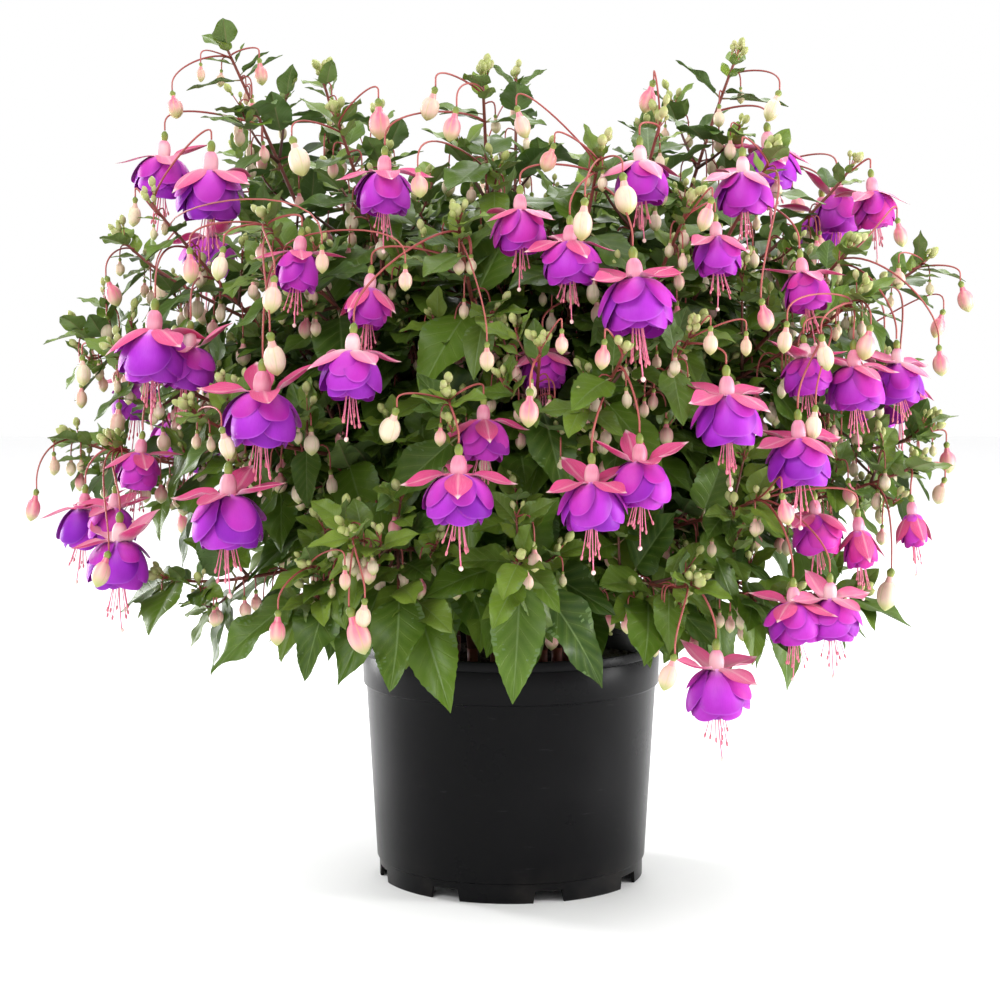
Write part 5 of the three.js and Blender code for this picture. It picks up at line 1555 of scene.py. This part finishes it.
def clearFlowers():    # room for flowers and buds, and for the view of them from outside
    for limb in limbs:
        for x, y, z, turn, lean, size, *_ in flowersOf(limb):
            where = flowerPlace(x, y, z, turn, lean, size)
            for high, low, radius in clearing["flower"]:
                addClear(where @ Vector((0, 0, high)), where @ Vector((0, 0, low)), radius * size)
            middle, radius = where @ Vector((0, 0, clearing["middle"])), clearing["sightRadius"] * size
            addClear(middle, middle + Vector((x, y, 0)).normalized() * clearing["sight"], radius)
            if y < clearing["front"]:
                addClear(middle, middle + Vector(clearing["frontSight"]), radius)
        for x, y, z, length in limb["buds"]:
            middle, radius = Vector((x, y, z)), length * clearing["budGirth"]
            addClear(middle + up * length * 0.4, middle - up * length * 0.5, radius + clearing["budRoom"])
            addClear(middle, middle + Vector((x, y, 0)).normalized() * clearing["budSight"], radius)
    for a, b, radius in clearing["frontSoil"]:
        addClear(a, b, radius)


def growLimb(plan):
    limb, shoots = limbs[plan["index"]], plan["shoots"]
    draw = draws(growth["seed"] + plan["index"])
    for leaf in plan["solidLeaves"]:
        keepLeaf(plan, leaf, 0.05 * draw(), draw)
    for leaf in plan["largeLeaves"]:    # their long stalks carry leaves too
        point, direction, _, length, _ = leaf
        bare = length - leafShape["largeLength"]
        if bare > 12:
            def line(t, a=point, d=direction, b=bare, whole=length):
                share = t * b / whole
                return a + d * t * b - up * whole * leafShape["droop"] * 0.5 * share * share
            plan["stems"].append((line, 1.1, 0.8, 6))
            pairsAlong(plan, line, bare, (34, 44), draw, 0.15, (13, 15))
    for at, bud in plan["hung"]:
        plan["stalks"].append((at, 0.62, 0.5, 20))
        length = bud[3]
        pink = 0.95 if length > 26 else 0.15 if length > 23.5 else clamp(1.9 * draw() - 0.35)
        down = (-up + Vector((draw() - 0.5, draw() - 0.5, 0)) * 0.8).normalized()
        plan["buds"].append((budTop(*bud), down, length, pink, clamp((19 - length) / 8) * draw()))
    for at in plan["bloomStalks"]:
        plan["stalks"].append((at, 0.7, 0.55, 22))
    foot, collar, nodding = shoots[0]["points"][0], shoots[0]["at"](0), growth["shootBuds"]
    for shoot in shoots:
        at, base, heading = shoot["at"], shoot["from"], shoot["heading"]
        plan["stems"].append((at, base, stemShape["tip"], shoot["steps"] * 4))
        if shoot is shoots[0]:
            plan["stems"].append((lambda t: foot.lerp(collar, t), base * 1.05, base, 5))
        tipCluster(plan, shoot["tip"], heading, 1.0, draw)
        plan["buds"].append((shoot["tip"] - heading, heading, mix(9, 12, draw()), 0.2, 0.75))
        for _ in range(countOf(nodding, draw)):
            outward, back = anyWay(draw), draw()
            size = mix(*nodding["length"], 0.5 * draw() + 0.5 * back)
            noddingBud(plan, at(1 - mix(*nodding["back"], back) / shoot["length"]), outward,
                       mix(*nodding["stalk"], back), size, draw)
        pairsAlong(plan, at, shoot["length"], (24, 56), draw, 0.22, (20, 30))
        growSideTwigs(plan, shoot, draw)
    growInnerTwigs(plan, limb, shoots[0], draw)
    for bud in smallBuds.get(plan["index"], ()):
        end = budTop(*bud)
        _, point, outward, *_ = perches(shoots, end, 26)[0]
        plan["stalks"].append((softStalk(shoots, end, point, outward), 0.5, 0.45, 16))
        plan["buds"].append((end, -up, bud[3], 0.4 * draw() + 0.3, 0.3 * draw()))


def growSideTwigs(plan, shoot, draw):    # in pairs, from the tip back
    shape = twigShape
    # the high tips stand free of twigs
    bare = mix(*shape["bare"], clamp((shoot["tip"].z - shape["highFrom"]) / shape["highSpan"]))
    spot = shoot["length"] - bare * mix(*shape["bareVaries"], draw())
    turn = draw() * math.pi
    while spot > shoot["length"] * shape["lowest"]:
        toTip = shoot["length"] - spot
        start = shoot["at"](spot / shoot["length"])
        axis = (shoot["at"](min(1, spot / shoot["length"] + 0.02)) - start).normalized()
        side = crosswise(axis)
        for pair in range(2):
            if draw() > growth["twigChance"]:
                continue
            sideways = turned(side, axis, turn + pair * math.pi + mix(*shape["turnVaries"], draw()))
            reach = mix(*growth["twigLength"], min(1, toTip / shape["fullAt"]))
            reach *= mix(*shape["reachVaries"], draw())
            leaving = (axis * shape["along"] + sideways * shape["aside"]).normalized()
            lift = up * reach * growth["twigRise"] * mix(*shape["riseVaries"], draw())
            end = start + leaving * reach * shape["bend"] + lift
            nearRim = math.hypot(end.x, end.y) < growth["rimRadius"] + shape["pastRim"]
            if nearRim and end.z < growth["rimHeight"] + shape["overRim"]:
                continue
            at = bezier(start, start + leaving * reach * shape["leaving"],
                        end - (up * 0.6 + leaving * 0.4) * reach * shape["arriving"], end)
            if isClear(np.array([tuple(at(q)) for q in (0.6, 0.8, 1.0)]), np.ones(3)):
                growTwig(plan, at, growth["sideTwig"], draw)
        turn += math.pi / 2
        spot -= mix(*growth["nodeGap"], min(1, toTip / shape["gapAt"])) * mix(*shape["gapVaries"], draw())


def growInnerTwigs(plan, limb, main, draw):    # they fill the bush behind its surface
    start, end = sliceOf(limb)
    for _ in range(growth["innerTwigs"]):
        angle = mix(start, end, draw())
        z = mix(*growth["innerHeights"], draw() ** 0.8)
        radius = coreRadius(z, angle) * mix(*growth["innerReach"], draw())
        share = clamp(mix(0.15, 0.6, (z - 170) / 260) * mix(0.8, 1.1, draw()), 0.1, 0.75)
        growInnerTwig(plan, main["at"](share), (radius, angle, z), draw)
    for _ in range(growth["crownTwigs"]):    # they close the bush above its middle
        angle = mix(start, end, draw())
        z = mix(*growth["crownHeights"], draw())
        radius = mix(*growth["crownReach"], draw())
        share = mix(*growth["crownRoots"], draw())
        growInnerTwig(plan, main["at"](share), (radius, angle, z), draw)


def growInnerTwig(plan, root, place, draw):
    radius, angle, z = place
    tip = around(angle, radius, z)
    reach = (tip - root).length
    outward = (tip - root).normalized()
    at = bezier(root, root + (outward + up * 0.8).normalized() * reach * 0.35,
                tip - (outward * 0.8 + up * 0.35).normalized() * reach * 0.3, tip)
    growTwig(plan, at, growth["innerTwig"], draw)


def buildLimb(plan):    # its three pieces
    index = plan["index"]
    node = "limb_%02d" % (index + 1)
    draw = draws(growth["seed"] * 2 + index)
    blades, stems, buds = Pile(), Pile(), Pile()
    for leaf, kind, tone in plan["leaves"]:
        addLeaf(blades, leaf, kind, tone, draw)
    for kind, slot in (("stems", 0), ("stalks", 1)):
        for at, thick, thin, steps in plan[kind]:
            shares = [k / steps for k in range(steps + 1)]
            radii = [mix(thick, thin, share if slot else math.sqrt(share)) for share in shares]
            sides = 6 if slot else 9 if thick > 2 else 7 if thick > 1 else 5
            addTube(stems, [at(share) for share in shares], radii, sides, slot)
    for top, down, length, pinkness, greenness in plan["buds"]:
        addBud(buds, top, down, length, pinkness, greenness, draw)
    number = "%02d" % (index + 1)
    blades.piece("leaves" + number, [leafTop, leafUnder, leafStalkSkin], [node], "foliage")
    stems.piece("stems" + number, [stemSkin, stalkSkin], [node], "foliage")
    buds.piece("buds" + number, [budSkin, ovarySkin], [node], "flower")


def buildBlooms():
    skins = [sepalOutside, sepalInside, petalOutside, petalInside, ovarySkin, threadSkin, antherSkin,
             stigmaSkin]
    groups = [group for limb in limbs for group in limb["flowers"]]
    for number, group in enumerate(groups, 1):
        draw = draws(growth["seed"] * 3 + number)
        pile = Pile()
        for flower in group:
            addFlower(pile, flower, draw)
        pile.piece("flower%02d" % number, skins, ["bloom_%02d" % number], "flower")
    print("blooms built:", len(groups))


boxLow, boxHigh = [Vector(corner) / mm for corner in cadBox]
clearFlowers()
clearRows = np.array(keepClear)
plans = [frameLimb(index) for index in range(len(limbs))]
print("limbs framed, leaves of the solids:", sum(len(plan["solidLeaves"]) for plan in plans))
for plan in plans:
    growLimb(plan)
for kind in ("leaves", "buds"):
    print(kind + ":", sum(len(plan[kind]) for plan in plans))
for plan in plans:
    buildLimb(plan)
print("limbs built")
buildBlooms()
